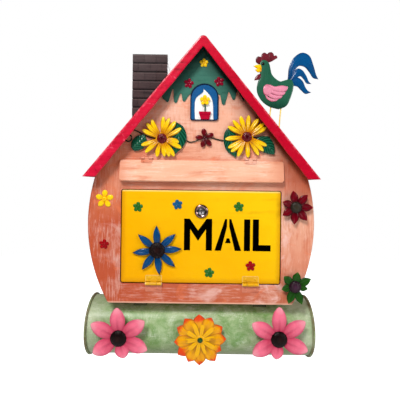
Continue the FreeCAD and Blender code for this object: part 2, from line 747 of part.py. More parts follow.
# -------------------------------------------------------------------- rooster
def build_rooster():
    y = bird_y - bird_t / 2
    body = [(106.5, 297.5), (114.5, 291.0), (117.0, 280.5), (121.5, 268.5), (134.0, 259.5),
            (148.0, 264.5), (156.5, 258.5), (155.0, 244.0), (146.0, 225.0), (129.5, 212.0),
            (110.0, 219.5), (97.0, 234.0), (93.5, 247.0), (97.5, 262.0), (98.5, 274.0),
            (97.0, 288.0)]
    nodes["rooster_body"] = plate(smooth(body), y, bird_t)
    plumes = [
        [(140.0, 262.5), (148.0, 270.0), (149.5, 286.0), (157.0, 302.0), (171.0, 311.5),
         (184.0, 306.5), (191.5, 290.0), (196.0, 275.0), (200.0, 266.5), (191.0, 267.5),
         (183.5, 279.0), (176.0, 286.5), (166.5, 288.0), (160.0, 280.0), (158.0, 268.0),
         (151.0, 258.0)],
        [(142.0, 260.0), (154.0, 268.5), (160.5, 283.0), (168.0, 283.6), (177.0, 277.5),
         (183.0, 263.0), (188.0, 257.8), (180.0, 257.8), (174.5, 266.0), (167.0, 271.0),
         (160.5, 268.0), (153.0, 257.0)],
        [(142.0, 258.0), (155.0, 263.0), (163.5, 269.0), (172.5, 264.0), (177.0, 252.5),
         (181.5, 246.0), (187.5, 243.0), (178.0, 240.2), (169.5, 247.0), (162.0, 253.5),
         (152.0, 254.0)],
    ]
    fans = [plate(smooth(p), y + bird_t, 1.6) for p in plumes]
    nodes["rooster_tail"] = join(fans)
    lobes = [(103.0, 296.0, 9.0), (101.5, 303.5, 6.5), (109.0, 305.0, 6.5), (117.0, 305.5, 6.8),
             (123.0, 300.5, 6.0), (112.0, 297.0, 8.0)]
    crest = [disc(a, b, r, y + bird_t, 1.6) for a, b, r in lobes]
    drop = [(99.5, 273.5), (95.5, 272.5), (91.0, 268.0), (88.5, 263.0), (92.0, 260.6),
            (97.0, 264.5), (100.5, 269.0)]
    nodes["rooster_comb"] = group([join(crest), plate(smooth(drop), y - 1.2, 1.2)])
    upper = [(100.8, 288.0), (94.5, 289.0), (86.5, 284.6), (94.0, 281.6), (101.0, 283.0)]
    lower = [(101.0, 282.6), (94.5, 281.2), (89.0, 279.0), (94.5, 275.4), (101.0, 276.0)]
    halves = [plate(polygon(upper), y - 1.2, 1.2), plate(polygon(lower), y - 1.2, 1.2)]
    nodes["rooster_beak"] = join(halves)
    wing = [(104.0, 244.5), (106.0, 252.0), (114.0, 254.0), (124.0, 250.5), (136.0, 253.0),
            (147.5, 249.0), (142.5, 242.0), (138.0, 236.5), (130.5, 232.0), (121.0, 227.5),
            (109.5, 233.5)]
    nodes["rooster_wing"] = plate(smooth(wing), y - 1.4, 1.4)
    nodes["rooster_eye"] = dome(103.8, 290.2, 2.2, y, 1.0)
    legs = []
    roof_cut = polygon([(20, 100), (20, roof_z(20)), (eave_half, eave_z), (eave_half, 80)])
    roof_solid = plate(roof_cut, bird_y - 40, 90)
    y_leg = bird_y + bird_t / 2 + leg_r
    for top, mid, foot in (((119.0, 222.0), (117.5, 206.0), (115.4, 170.0)),
                           ((137.5, 226.0), (135.0, 204.0), (130.8, 150.0))):
        rod = wire_piece([top, mid, foot], y_leg, leg_r)
        legs.append(rod.cut(roof_solid))
    nodes["rooster_legs"] = group(legs)


# ----------------------------------------------------------------------- flap
def tilted(shape):
    out = shape.copy()
    out.rotate(V(0, flap_axis[0], flap_axis[1]), V(1, 0, 0), -flap_tilt)
    return out


flap_pin_r = 0.9
door_pin_r = 1.2
door_small_flowers = [(26.4 - door_half, 43.6, 4), (door_half - 67.3, 45.7, -6),
                      (14.0, -60.2, 8), (-37.8, 48.2, -10), (door_half - 47.5, -48.8, -4)]


def build_flap():
    y_face = flap_axis[0] - 0.9            # outer face of the flap before tilting
    depth = 16.0
    outline = rounded_rect(-flap_half, flap_half, flap_bottom, flap_top, flap_corner_r)
    blank = plate(outline, y_face, depth)
    rim = [e for e in blank.Edges if all(abs(v.Y - y_face) < 0.01 for v in e.Vertexes)]
    blank = blank.makeFillet(1.2, rim)
    t = flap_t
    hollow = plate(rounded_rect(-flap_half + t, flap_half - t, flap_bottom + t, flap_top - t,
                                flap_corner_r - t), y_face + t, depth)
    tray = tilted(blank.cut(hollow))
    stop = box(-300, 300, front_y - 0.5, front_y + 60, 40, 160)
    tray = tray.cut(stop)
    nodes["letter_flap"] = tray
    fixed = []
    moving = []
    pins = []
    for x in flap_hinge_x:
        fixed.append(hinge_leaf(flap_axis, flap_barrel_r, flap_pin_r + pin_clearance,
                                flap_hinge_w, x, front_y, flap_leaf_h, 1, False))
        leaf = hinge_leaf(flap_axis, flap_barrel_r, flap_pin_r + pin_clearance,
                          flap_hinge_w, x, y_face, flap_leaf_h, -1, True)
        moving.append(tilted(leaf))
        pins.append(hinge_pin(flap_axis, flap_pin_r, flap_hinge_w, x))
    nodes["flap_hinge_fixed"] = group(fixed)
    nodes["flap_hinge_moving"] = group(moving)
    nodes["flap_hinge_pins"] = group(pins)


# ----------------------------------------------------------------------- door
def letter_m(x0, x1, z0, z1):
    mid = (x0 + x1) / 2
    dip = z0 + (z1 - z0) * 0.30
    return [polygon([(x0, z0), (x0 + stroke, z0), (x0 + stroke, z1 - 17), (mid, dip),
                     (x1 - stroke, z1 - 17), (x1 - stroke, z0), (x1, z0), (x1, z1),
                     (x1 - stroke * 0.9, z1), (mid, dip + 17), (x0 + stroke * 0.9, z1),
                     (x0, z1)])]


def letter_a(x0, x1, z0, z1):
    mid = (x0 + x1) / 2
    lean = (mid - x0 - stroke / 2) / (z1 - z0)
    bar = z0 + (z1 - z0) * 0.24
    wing = stroke * 1.04
    left = polygon([(x0, z0), (x0 + wing, z0), (mid - bridge / 2, z1 - 12),
                    (mid - bridge / 2, z1), (mid - stroke / 2, z1)])
    right = polygon([(x1, z0), (x1 - wing, z0), (mid + bridge / 2, z1 - 12),
                     (mid + bridge / 2, z1), (mid + stroke / 2, z1)])
    xa = x0 + wing + lean * (bar - z0) + bridge * 0.7
    xb = x0 + wing + lean * (bar + stroke * 0.8 - z0) + bridge * 0.7
    rung = polygon([(xa, bar), (2 * mid - xa, bar), (2 * mid - xb, bar + stroke * 0.8),
                    (xb, bar + stroke * 0.8)])
    return [left, right, rung]


def letter_i(x0, x1, z0, z1):
    return [polygon([(x0, z0), (x1, z0), (x1, z1), (x0, z1)])]


def letter_l(x0, x1, z0, z1):
    return [polygon([(x0, z0), (x1, z0), (x1, z0 + stroke), (x0 + stroke, z0 + stroke),
                     (x0 + stroke, z1), (x0, z1)])]


def word_cutters():
    z0, z1 = word_bottom, word_bottom + word_height
    wires = []
    letters = ((letter_m, 45.0), (letter_a, 43.0), (letter_i, stroke), (letter_l, 29.0))
    x = door_half - word_side - sum(width + letter_gap for maker, width in letters) + letter_gap
    for maker, width in letters:
        wires += maker(x, x + width, z0, z1)
        x += width + letter_gap
    return [plate(w, front_y - 2, 8) for w in wires]


def build_door():
    outline = rounded_rect(-door_half, door_half, door_bottom, door_top, door_corner_r)
    blank = plate(outline, front_y, door_depth)
    rim = [e for e in blank.Edges if all(abs(v.Y - front_y) < 0.01 for v in e.Vertexes)]
    blank = blank.makeFillet(door_edge_r, rim)
    t = door_t
    hollow = plate(rounded_rect(-door_half + t, door_half - t, door_bottom + t, door_top - t,
                                door_corner_r - t), front_y + t, door_depth)
    tray = blank.cut(hollow)
    for tool in word_cutters():
        tray = tray.cut(tool)
    tray = tray.cut(disc(lock_x, lock_z, lock_barrel_r + 0.05, front_y - 5, 20))
    nodes["door_panel"] = tray
    fixed = []
    moving = []
    pins = []
    for x in door_hinge_x:
        fixed.append(hinge_leaf(door_axis, door_barrel_r, door_pin_r + pin_clearance,
                                door_hinge_w, x, front_y, door_leaf_h, -1, False))
        moving.append(hinge_leaf(door_axis, door_barrel_r, door_pin_r + pin_clearance,
                                 door_hinge_w, x, front_y, door_leaf_h, 1, True))
        pins.append(hinge_pin(door_axis, door_pin_r, door_hinge_w, x))
    nodes["door_hinge_fixed"] = group(fixed)
    nodes["door_hinge_moving"] = group(moving)
    nodes["door_hinge_pins"] = group(pins)

    cx, cz = 58.1 - door_half, -24.8
    y_back = front_y - 2.0
    petals = [(a, 39.0, 11.5) for a in (358, 48, 86.5, 132, 174, 217, 263, 309)]
    head = flower(cx, cz, petals, 9.0, 13.5, y_back, 1.4, 0.4)
    nodes["door_flower"] = join([head, disc(cx, cz, 10.0, y_back, 2.0)])
    nodes["door_flower_centre"] = dome(cx, cz, 13.0, y_back - 1.4, 4.2)
    small = [small_flower(x, z, 8.2, start=turn) for x, z, turn in door_small_flowers]
    nodes["door_small_flowers"] = group(small)


# ----------------------------------------------------------------------- lock
def build_lock():
    x, z = lock_x, lock_z
    y_face = front_y - lock_flange_t
    flange = disc(x, z, lock_flange_r, y_face, lock_flange_t)
    lip = [e for e in flange.Edges if abs(e.Vertexes[0].Y - y_face) < 0.01]
    flange = flange.makeFillet(1.2, lip)
    barrel = disc(x, z, lock_barrel_r, front_y - 0.2, lock_length - 0.2)
    bore = disc(x, z, lock_plug_r + 0.05, y_face - 1, 40)
    nodes["lock_housing"] = join([flange, barrel]).cut(bore)

    y_in = front_y + door_t
    hexagon = [V(x + 12.0 * math.cos(math.radians(60 * k)), y_in,
                 z + 12.0 * math.sin(math.radians(60 * k))) for k in range(7)]
    nut = Part.Face(Part.makePolygon(hexagon)).extrude(V(0, lock_nut_t, 0))
    nodes["lock_nut"] = nut.cut(disc(x, z, lock_barrel_r + 0.02, y_in - 1, 10))

    y_cam = front_y + lock_length
    plug = disc(x, z, lock_plug_r, y_face + 0.4, y_cam - y_face - 0.4)
    keyhole = box(x - 0.9, x + 0.9, y_face - 1, y_face + 8, z - 3.6, z + 3.6)
    nodes["lock_plug"] = plug.cut(keyhole)
    cam = join([disc(x, z, cam_w * 0.72, y_cam, cam_t),
                box(x - cam_reach, x, y_cam, y_cam + cam_t, z - cam_w / 2, z + cam_w / 2)])
    nodes["lock_cam"] = cam
    head = Part.makeCylinder(3.6, 2.6, V(x, y_cam + cam_t, z), V(0, 1, 0))
    nodes["cam_bolt"] = head


# ---------------------------------------------------------------------- build
build_housing()
build_roof()
build_chimney()
build_tube()
build_window()
build_vine()
build_panel_flowers()
build_tube_flowers()
build_rooster()
build_flap()
build_door()
build_lock()

os.makedirs("parts", exist_ok=True)
for name, shape in nodes.items():
    shape.exportStep(os.path.join("parts", name + ".step"))
    print(name, shape.isValid(), len(shape.Solids), round(shape.Volume, 1))
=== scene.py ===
# %% [markdown]
# # A painted cottage letterbox
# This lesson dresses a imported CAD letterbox. The sheet-metal housing, door, flap, tube, hinges
# and lock keep their CAD shapes and get hand-painted finishes. The flowers, leaves, rooster,
# vine and roof edge are pressed and rolled by hand on the real thing, so they are worked out
# here as smooth numpy surfaces that take the place of the flat CAD blanks.

# %% Load the frame and measure it
import json
import math

import bpy
import numpy as np
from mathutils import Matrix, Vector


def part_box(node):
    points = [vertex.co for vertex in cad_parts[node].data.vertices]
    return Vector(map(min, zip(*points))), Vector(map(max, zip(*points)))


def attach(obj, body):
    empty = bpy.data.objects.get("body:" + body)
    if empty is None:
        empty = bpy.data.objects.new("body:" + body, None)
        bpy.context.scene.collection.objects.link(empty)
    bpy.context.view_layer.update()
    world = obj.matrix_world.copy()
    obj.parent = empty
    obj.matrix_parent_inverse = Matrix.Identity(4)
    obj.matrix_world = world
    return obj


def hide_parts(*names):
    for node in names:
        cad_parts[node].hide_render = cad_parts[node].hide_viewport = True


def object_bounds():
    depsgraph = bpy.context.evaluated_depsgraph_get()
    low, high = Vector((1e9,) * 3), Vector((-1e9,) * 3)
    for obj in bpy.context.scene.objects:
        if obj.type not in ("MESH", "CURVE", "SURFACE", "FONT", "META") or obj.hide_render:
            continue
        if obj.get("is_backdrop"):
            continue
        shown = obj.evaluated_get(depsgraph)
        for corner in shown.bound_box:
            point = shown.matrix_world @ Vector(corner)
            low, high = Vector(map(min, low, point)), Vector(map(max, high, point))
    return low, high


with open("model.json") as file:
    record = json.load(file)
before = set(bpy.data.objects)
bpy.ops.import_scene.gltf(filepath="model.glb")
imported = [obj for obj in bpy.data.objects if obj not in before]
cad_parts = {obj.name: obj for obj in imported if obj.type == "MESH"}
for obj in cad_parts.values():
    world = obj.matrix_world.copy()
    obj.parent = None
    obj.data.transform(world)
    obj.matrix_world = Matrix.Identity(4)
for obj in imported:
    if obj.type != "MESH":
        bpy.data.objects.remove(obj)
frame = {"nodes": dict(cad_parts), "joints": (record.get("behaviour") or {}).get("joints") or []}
nodes = frame["nodes"]
cad_low, cad_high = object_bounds()
MM = 0.001
print("CAD box in mm:", [round(v / MM, 1) for v in (*cad_low, *cad_high)])

# %% [markdown]
# Every ornament is placed from the CAD node it stands for. The box of a node gives its middle,
# its extent and the plane it rests on, so a piece stays in line when a size changes.


# %% Where a CAD node is, in millimetres
def span(node):
    """Low and high corner of a CAD node in millimetres, as two numpy arrays."""
    low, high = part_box(node)
    return np.array(low) / MM, np.array(high) / MM


PANEL_Y = span("front_panel")[0][1]
ROOF_Y = span("roof_band")[0][1]
print("front panel at y", round(PANEL_Y, 2), "roof edge at y", round(ROOF_Y, 2))

# %% [markdown]
# Two mesh makers do nearly all the shaping. The first closes a grid that wraps round in one
# direction, with a small fan at each end. It could be done with curves and bevels, but a grid
# lets petals carry their own creases.


# %% Put arrays into a mesh object
def mesh_object(name, verts, quads, tris=(), marks=None, sharp=40.0):
    """Mesh from vertices in millimetres, quads and triangles. marks are named point values."""
    mesh = bpy.data.meshes.new(name)
    faces = np.asarray(quads).tolist() + np.asarray(tris).tolist()
    mesh.from_pydata((np.asarray(verts) * MM).tolist(), [], faces)
    mesh.update()
    for key, values in (marks or {}).items():
        layer = mesh.attributes.new(key, "FLOAT", "POINT")
        layer.data.foreach_set("value", np.asarray(values, dtype=np.float32).ravel())
    mesh.shade_smooth()
    mesh.set_sharp_from_angle(angle=math.radians(sharp))
    obj = bpy.data.objects.new(name, mesh)
    bpy.context.scene.collection.objects.link(obj)
    return obj


def ring_faces(rows, cols):
    """Quads of a grid that closes on itself across its columns."""
    r, c = np.meshgrid(np.arange(rows - 1), np.arange(cols), indexing="ij")
    a = r * cols + c
    b = r * cols + (c + 1) % cols
    return np.stack([a, b, b + cols, a + cols], axis=-1).reshape(-1, 4)


def loft(rows, marks=None, flip=False):
    """Closed skin from rows (n, m, 3) that wrap round. Both ends close with a fan.

    Returns vertices, quads, triangles and point marks.
    """
    n, m, _ = rows.shape
    verts = np.concatenate([rows.reshape(-1, 3), rows[0].mean(0)[None], rows[-1].mean(0)[None]])
    quads = ring_faces(n, m)
    k = np.arange(m)
    first = np.stack([np.full(m, n * m), (k + 1) % m, k], axis=-1)
    last_row = (n - 1) * m
    last = np.stack([np.full(m, n * m + 1), last_row + k, last_row + (k + 1) % m], axis=-1)
    tris = np.concatenate([first, last])
    if flip:
        quads, tris = quads[:, ::-1], tris[:, ::-1]
    out = {}
    for key, values in (marks or {}).items():
        ends = [values[0].mean(), values[-1].mean()]
        out[key] = np.concatenate([values.ravel(), ends])
    return verts, quads, tris, out


def merge(parts):
    """Several (vertices, quads, triangles, marks) as one."""
    verts, quads, tris, marks, start = [], [], [], {}, 0
    for v, q, t, m in parts:
        verts.append(v)
        quads.append(np.asarray(q) + start)
        tris.append(np.asarray(t) + start)
        for key, values in m.items():
            marks.setdefault(key, []).append(values)
        start += len(v)
    joined = {key: np.concatenate(values) for key, values in marks.items()}
    return np.concatenate(verts), np.concatenate(quads), np.concatenate(tris), joined


print("mesh object, loft and merge ready")

# %% [markdown]
# The second maker is the pressed blade: a thin piece of sheet between two edge curves, flat
# behind and swollen in front. Petals, leaves, feathers and the bird's body are all blades. The
# edges are smooth curves through a few points, so a blade is easy to redraw.


# %% Smooth lines and pressed blades
def smooth_line(points, count):
    """Points spread evenly along a Catmull-Rom curve through the given points.

    The curve is first worked out finely, forty steps to a segment, then walked at even steps.
    """
    p = np.asarray(points, dtype=float)
    q = np.concatenate([2 * p[:1] - p[1:2], p, 2 * p[-1:] - p[-2:-1]])
    segments = len(q) - 3
    u = np.linspace(0, segments, 40 * segments + 1)
    i = np.minimum(u.astype(int), segments - 1)
    t = (u - i)[:, None]
    a, b, c, d = q[i], q[i + 1], q[i + 2], q[i + 3]
    fine = 0.5 * (2 * b + (c - a) * t + (2 * a - 5 * b + 4 * c - d) * t**2
                  + (3 * b - a - 3 * c + d) * t**3)
    step = np.concatenate([[0], np.cumsum(np.linalg.norm(np.diff(fine, axis=0), axis=1))])
    want = np.linspace(0, step[-1], count)
    return np.stack([np.interp(want, step, fine[:, k]) for k in range(p.shape[1])], axis=-1)


def blade(left, right, y_back, rim, bulge, relief=None, lift=None, count=26, across=17,
          power=0.7):
    """Pressed blade between two edge curves in XZ.

    Front height = rim + bulge * (1 - v^2)^power * sin(pi t)^0.5 + relief(t, v), with t along
    the blade and v across it from -1 to 1. The back is flat, moved forward by lift(t).
    """
    le = smooth_line(left, count)
    ri = smooth_line(right, count)
    t = np.linspace(0, 1, count)[:, None]
    v = -np.cos(np.linspace(0, math.pi, across))[None, :]
    mid = (le + ri)[:, None, :] / 2 + (ri - le)[:, None, :] / 2 * v[..., None]
    swell = np.clip(1 - v**2, 0, 1) ** power * np.clip(np.sin(math.pi * t), 0, 1) ** 0.5
    high = rim + bulge * swell + (relief(t, v) * swell if relief else 0)
    raised = lift(t) if lift else np.zeros_like(t)
    front = np.stack([mid[..., 0], y_back - raised - high, mid[..., 1]], axis=-1)
    vb = v[:, ::-1] * 0.999
    back_mid = (le + ri)[:, None, :] / 2 + (ri - le)[:, None, :] / 2 * vb[..., None]
    level = np.broadcast_to(y_back - raised, (count, across))
    back = np.stack([back_mid[..., 0], level, back_mid[..., 1]], axis=-1)
    rows = np.concatenate([front, back], axis=1)
    tt = np.broadcast_to(t, (count, 2 * across))
    vv = np.concatenate([v, vb], axis=1)
    vv = np.broadcast_to(vv, (count, 2 * across))
    area = np.sum((ri[:, 0] - le[:, 0]) * np.gradient(le[:, 1] + ri[:, 1]))
    area -= np.sum((ri[:, 1] - le[:, 1]) * np.gradient(le[:, 0] + ri[:, 0]))
    return loft(rows, {"along": tt, "across": vv}, flip=area > 0)


print("blades ready")

# %% [markdown]
# A petal is a blade whose two edges are worked out from its angle, length and width. Sharp and
# round ends, narrow necks and bends are all numbers, so every flower uses the same function.


# %% Petal outlines
def petal_edges(cx, cz, angle, root, tip, width, point=0.8, neck=0.4, peak=0.5, bend=0.0):
    """Left and right edge of a petal growing from (cx, cz) at a clockwise angle from up.

    Half width rises from the neck as a sine up to the peak, then falls as
    cos(u * pi / 2) ** point, so a small power gives a round end and a large one a sharp end.
    """
    s = np.array([0.0, 0.12, 0.27, 0.42, 0.56, 0.69, 0.8, 0.89, 0.95, 0.985, 1.0])
    rise = neck + (1 - neck) * np.sin(math.pi / 2 * np.minimum(s / peak, 1))
    fall = np.cos(math.pi / 2 * np.clip((s - peak) / (1 - peak), 0, 1)) ** point
    half = width / 2 * np.maximum(np.where(s < peak, rise, fall), 0.01)
    radius = root + (tip - root) * s
    a = np.radians(angle + bend * s**2)
    ax, az = np.sin(a), np.cos(a)
    left = np.stack([cx + radius * ax - half * az, cz + radius * az + half * ax], axis=-1)
    right = np.stack([cx + radius * ax + half * az, cz + radius * az - half * ax], axis=-1)
    return left, right


def bloom(centre, rows, root, outline, y_back, stagger, size, *pressing, **grid):
    """Petals round a centre, from rows of (angle, tip, width).

    outline is (point, neck, peak), size is (rim, bulge), pressing is relief and lift. Every
    other petal stands nearer by the stagger.
    """
    parts = []
    for i, (angle, tip, width) in enumerate(rows):
        edges = petal_edges(*centre, angle, root, tip, width, *outline)
        parts.append(blade(*edges, y_back - stagger * (i % 2), *size, *pressing, **grid))
    return parts


print("petal outlines ready")

# %% [markdown]
# Domed middles, pegs and rivets are turned about Y, and wires are rods along a smooth path.


# %% Turned pieces and rods
def turned(cx, cz, profile, y0, around=48, wave=None):
    """Surface of revolution about Y: profile is (radius, height in front of y0).

    Height = profile height + wave(angle, s), with s from 0 at the first profile point to 1 at
    the last.
    """
    prof = np.asarray(profile, dtype=float)
    s = np.linspace(0, 1, len(prof))[:, None]
    a = np.linspace(0, 2 * math.pi, around, endpoint=False)[None, :]
    extra = wave(a, s) if wave else 0
    high = prof[:, 1][:, None] + extra
    x = cx + prof[:, 0][:, None] * np.sin(a)
    z = cz + prof[:, 0][:, None] * np.cos(a)
    rows = np.stack([x, np.broadcast_to(y0 - high, x.shape), z], axis=-1)
    tt = np.broadcast_to(s, x.shape)
    return loft(rows, {"along": tt, "across": np.zeros_like(tt)}, flip=True)


def peg(cx, cz, r, length, y0, around=48):
    """Short round bar along Y, from y0 forward by its length."""
    return turned(cx, cz, [(0.02, length), (r, length), (r, 0), (0.02, 0)], y0, around)


def hub(cx, cz, r, high, y0):
    """Flat disc with its front edge taken off over the last millimetre."""
    return turned(cx, cz, [(0.02, high), (r - 1, high), (r, high / 2), (r, 0), (0.02, 0)], y0)


def dome_profile(r, height, count=14, rim=0.0):
    """Half ellipse from the middle outward, then straight down to the base."""
    a = np.linspace(math.pi / 2, 0, count)
    r_part = np.maximum(r * np.cos(a), 0.02)
    rows = np.stack([r_part, rim + height * np.sin(a)], axis=-1)
    return np.concatenate([rows, [[r, 0.0], [0.02, 0.0]]])


def rod(points, radius, around=14, count=90):
    """Round wire carried along a smooth path of (x, y, z) points.

    Each ring is path + radius * (cos(a) * side + sin(a) * up), square to the path.
    """
    path = smooth_line(points, count)
    tangent = np.gradient(path, axis=0)
    tangent /= np.linalg.norm(tangent, axis=1, keepdims=True)
    side = np.cross(tangent, [0.0, 1.0, 0.0])
    side /= np.linalg.norm(side, axis=1, keepdims=True)
    up = np.cross(side, tangent)
    a = np.linspace(0, 2 * math.pi, around, endpoint=False)
    s = np.linspace(0, 1, count)
    rows = path[:, None, :] + radius * (np.cos(a)[None, :, None] * side[:, None, :]
                                        + np.sin(a)[None, :, None] * up[:, None, :])
    tt = np.broadcast_to(s[:, None], rows.shape[:2])
    return loft(rows, {"along": tt, "across": np.zeros_like(tt)})


print("turned pieces and rods ready")

# %% [markdown]
# ## Short names for shader nodes
# A painted finish is a lot of arithmetic on masks. To keep it readable, a node output is
# wrapped in a small class, so that plus, minus and times add Math nodes.


# %% Signals: node outputs that can be added and multiplied
def ink(r, g, b):
    """Screen colour 0-255 as linear RGBA."""
    c = np.array([r, g, b]) / 255.0
    curve = ((c + 0.055) / 1.055) ** 2.4
    return (*np.where(c <= 0.04045, c / 12.92, curve).tolist(), 1.0)


class Signal:
    """The output of a node. Arithmetic with it adds Math nodes to the same tree."""

    __array_ufunc__ = None

    def __init__(self, socket):
        self.socket, self.tree = socket, socket.id_data

    def math(self, what, *others):
        """Math node of this kind with this signal as its first input."""
        return fill(node(self.tree, "ShaderNodeMath", settings={"operation": what}),
                    self, *others)

    def clamped(self):
        """The same result held between 0 and 1."""
        self.socket.node.use_clamp = True
        return self

    def __rsub__(self, other):
        return fill(node(self.tree, "ShaderNodeMath", settings={"operation": "SUBTRACT"}),
                    other, self)


for method, what in (("add", "ADD"), ("sub", "SUBTRACT"), ("mul", "MULTIPLY"),
                     ("truediv", "DIVIDE"), ("pow", "POWER"), ("mod", "MODULO"),
                     ("abs", "ABSOLUTE")):
    setattr(Signal, f"__{method}__",
            lambda self, *others, what=what: self.math(what, *others))


def feed(value, socket):
    """Link a signal into a socket, or set a plain number, vector or colour on it."""
    if isinstance(value, Signal):
        socket.id_data.links.new(value.socket, socket)
    else:
        socket.default_value = value


def fill(signal, *values):
    """Feed values to the first inputs of the node behind a signal, in order."""
    for socket, value in zip(signal.socket.node.inputs, values):
        feed(value, socket)
    return signal


def node(tree, kind, output=0, settings=None, **values):
    """Add a node, feed its inputs by name, and give one of its outputs."""
    new = tree.nodes.new(kind)
    for key, value in (settings or {}).items():
        setattr(new, key, value)
    for key, value in values.items():
        feed(value, new.inputs[key.replace("_", " ")])
    return Signal(new.outputs[output])


print("signals ready")

# %% [markdown]
# The few nodes that every paint needs get short names: a colour mix, several coats laid one
# over the other, a soft step, and stretched noise.


# %% Mixes, steps and noise
def mix(amount, a, b):
    """Colour a with colour b laid over it by the amount."""
    tree = next(v.tree for v in (amount, a, b) if isinstance(v, Signal))
    result = node(tree, "ShaderNodeMix", 2, {"data_type": "RGBA"})
    for index, value in ((0, amount), (6, a), (7, b)):
        feed(value, result.socket.node.inputs[index])
    return result


def coats(base, *rows):
    """Rows of (mask, colour) laid over a base, one after the other."""
    for mask, colour in rows:
        base = mix(mask, base, colour)
    return base


def step(value, low, high, to_low=0.0, to_high=1.0, smooth=True):
    """From to_low at low to to_high at high, as an S curve or a straight line."""
    way = {"interpolation_type": "SMOOTHSTEP" if smooth else "LINEAR"}
    return fill(node(value.tree, "ShaderNodeMapRange", 0, way), value, low, high, to_low, to_high)


def noise(coords, scale, detail=4.0, rough=0.55, stretch=(1, 1, 1), turn=(0, 0, 0), warp=0.0):
    """Noise from 0 to 1 on stretched and turned coordinates."""
    place = node(coords.tree, "ShaderNodeMapping", Vector=coords, Scale=stretch, Rotation=turn)
    return node(coords.tree, "ShaderNodeTexNoise", "Fac", Vector=place, Scale=scale,
                Detail=detail, Roughness=rough, Distortion=warp)


print("mixes ready")

# %% [markdown]
# Patterns read object coordinates or the point values stored in a mesh. A shader group is made
# from a table of sockets, and placed in a material with its own values.


# %% Coordinates and shader groups
def spot(tree, size=None):
    """Object coordinates, scaled by a size when one is given."""
    where = node(tree, "ShaderNodeTexCoord", "Object")
    if size is None:
        return where
    return fill(node(tree, "ShaderNodeVectorMath", 0, {"operation": "SCALE"}, Scale=size), where)


def position(tree):
    """Object coordinates in millimetres as x, y and z."""
    where = spot(tree)
    return [node(tree, "ShaderNodeSeparateXYZ", i, Vector=where) * 1000.0 for i in range(3)]


def mark(tree, name):
    """A point value that was stored in the mesh."""
    return node(tree, "ShaderNodeAttribute", "Fac", {"attribute_name": name})


def new_group(name, inputs, outputs):
    """Empty shader group. inputs gives each socket its default, a number or a colour."""
    tree = bpy.data.node_groups.new(name, "ShaderNodeTree")
    kinds = {float: "NodeSocketFloat", tuple: "NodeSocketColor"}
    for label, default in inputs.items():
        socket = tree.interface.new_socket(label, in_out="INPUT", socket_type=kinds[type(default)])
        socket.default_value = default
    for label in outputs:
        kind = kinds[tuple if label == "Colour" else float]
        tree.interface.new_socket(label, in_out="OUTPUT", socket_type=kind)
    inside = {s.name: Signal(s) for s in tree.nodes.new("NodeGroupInput").outputs}
    return tree, inside, tree.nodes.new("NodeGroupOutput").inputs


def use(tree, group, **values):
    """Place a shader group. Its outputs come back by name."""
    placed = node(tree, "ShaderNodeGroup", 0, {"node_tree": group}, **values)
    return {s.name: Signal(s) for s in placed.socket.node.outputs}


print("coordinates and groups ready")

# %% [markdown]
# ## Camera
# The box is seen from straight in front, from about half a metre, a little above the middle,
# with a barely noticeable roll. The lens is wide because the camera is close.

# %% Camera
VIEW_DISTANCE = 545.0
VIEW_SPAN = 640.0
cam_data = bpy.data.cameras.new("camera")
cam_data.sensor_width = 36.0
cam_data.lens = 36.0 * VIEW_DISTANCE / VIEW_SPAN
cam_data.shift_x = -0.0037
cam_data.shift_y = -0.0375
camera = bpy.data.objects.new("camera", cam_data)
camera.location = (0.0, (PANEL_Y - VIEW_DISTANCE) * MM, 0.080)
camera.rotation_euler = (math.radians(90), math.radians(-0.75), 0.0)
bpy.context.scene.collection.objects.link(camera)
bpy.context.scene.camera = camera
print("lens", round(cam_data.lens, 2), "mm")

# %% [markdown]
# ## Light
# Bright colours want soft, nearly white light: one panel above and a little to the left, a
# weaker one at the right, and faint ones behind and below.


# %% Lights
def area_light(name, place, target, size, watts, tint=(1.0, 1.0, 1.0)):
    """Round lamp at a place in metres, turned to face the target."""
    data = bpy.data.lights.new(name, "AREA")
    data.shape = "DISK"
    data.size = size
    data.energy = watts
    data.color = tint
    lamp = bpy.data.objects.new(name, data)
    lamp.location = place
    way = np.array(target) - np.array(place)
    yaw = math.atan2(way[1], way[0]) - math.pi / 2
    pitch = math.atan2(way[2], math.hypot(way[0], way[1])) + math.pi / 2
    lamp.rotation_euler = (pitch, 0.0, yaw)
    bpy.context.scene.collection.objects.link(lamp)
    return lamp


area_light("key", (-0.50, -1.28, 1.28), (0, -0.1, 0.03), 0.5, 26.2, (1.0, 0.985, 0.96))
area_light("fill", (1.45, -1.05, 0.45), (0, -0.1, 0.0), 0.6, 9.0, (0.97, 0.985, 1.0))
back = area_light("back", (0.3, 1.3, 1.0), (0, 0, 0.05), 0.9, 8.0)
# no glare from behind on the sides that are seen almost edge on
back.data.specular_factor = 0.0
area_light("under", (0.0, -1.0, -0.9), (0, 0, -0.1), 0.8, 2.0)
print("four lights, three of them seen in the gloss")

# %% [markdown]
# The surround has three strengths: pale for soft light, dim for reflections so that dark paints
# stay dark, and full white where it is seen directly.

# %% World
world = bpy.data.worlds.new("studio")
bpy.context.scene.world = world
world.use_nodes = True
wt = world.node_tree
wt.nodes.clear()
soft, dim, full = [node(wt, "ShaderNodeBackground", Color=tint, Strength=strength)
                   for strength, tint in ((0.26, (0.96, 0.98, 1, 1)), (0.04, (1, 1, 1, 1)),
                                          (1.0, (1, 1, 1, 1)))]
glossy = node(wt, "ShaderNodeLightPath", "Is Glossy Ray")
seen = node(wt, "ShaderNodeLightPath", "Is Camera Ray")
around = fill(node(wt, "ShaderNodeMixShader"), glossy, soft, dim)
sky = wt.nodes.new("ShaderNodeOutputWorld")
feed(fill(node(wt, "ShaderNodeMixShader"), seen, around, full), sky.inputs["Surface"])
print("world has", len(wt.nodes), "nodes")

# %% [markdown]
# The floor lies well below, so the box hangs clear of it. It glows to the camera only, so it
# throws little light up at the box.

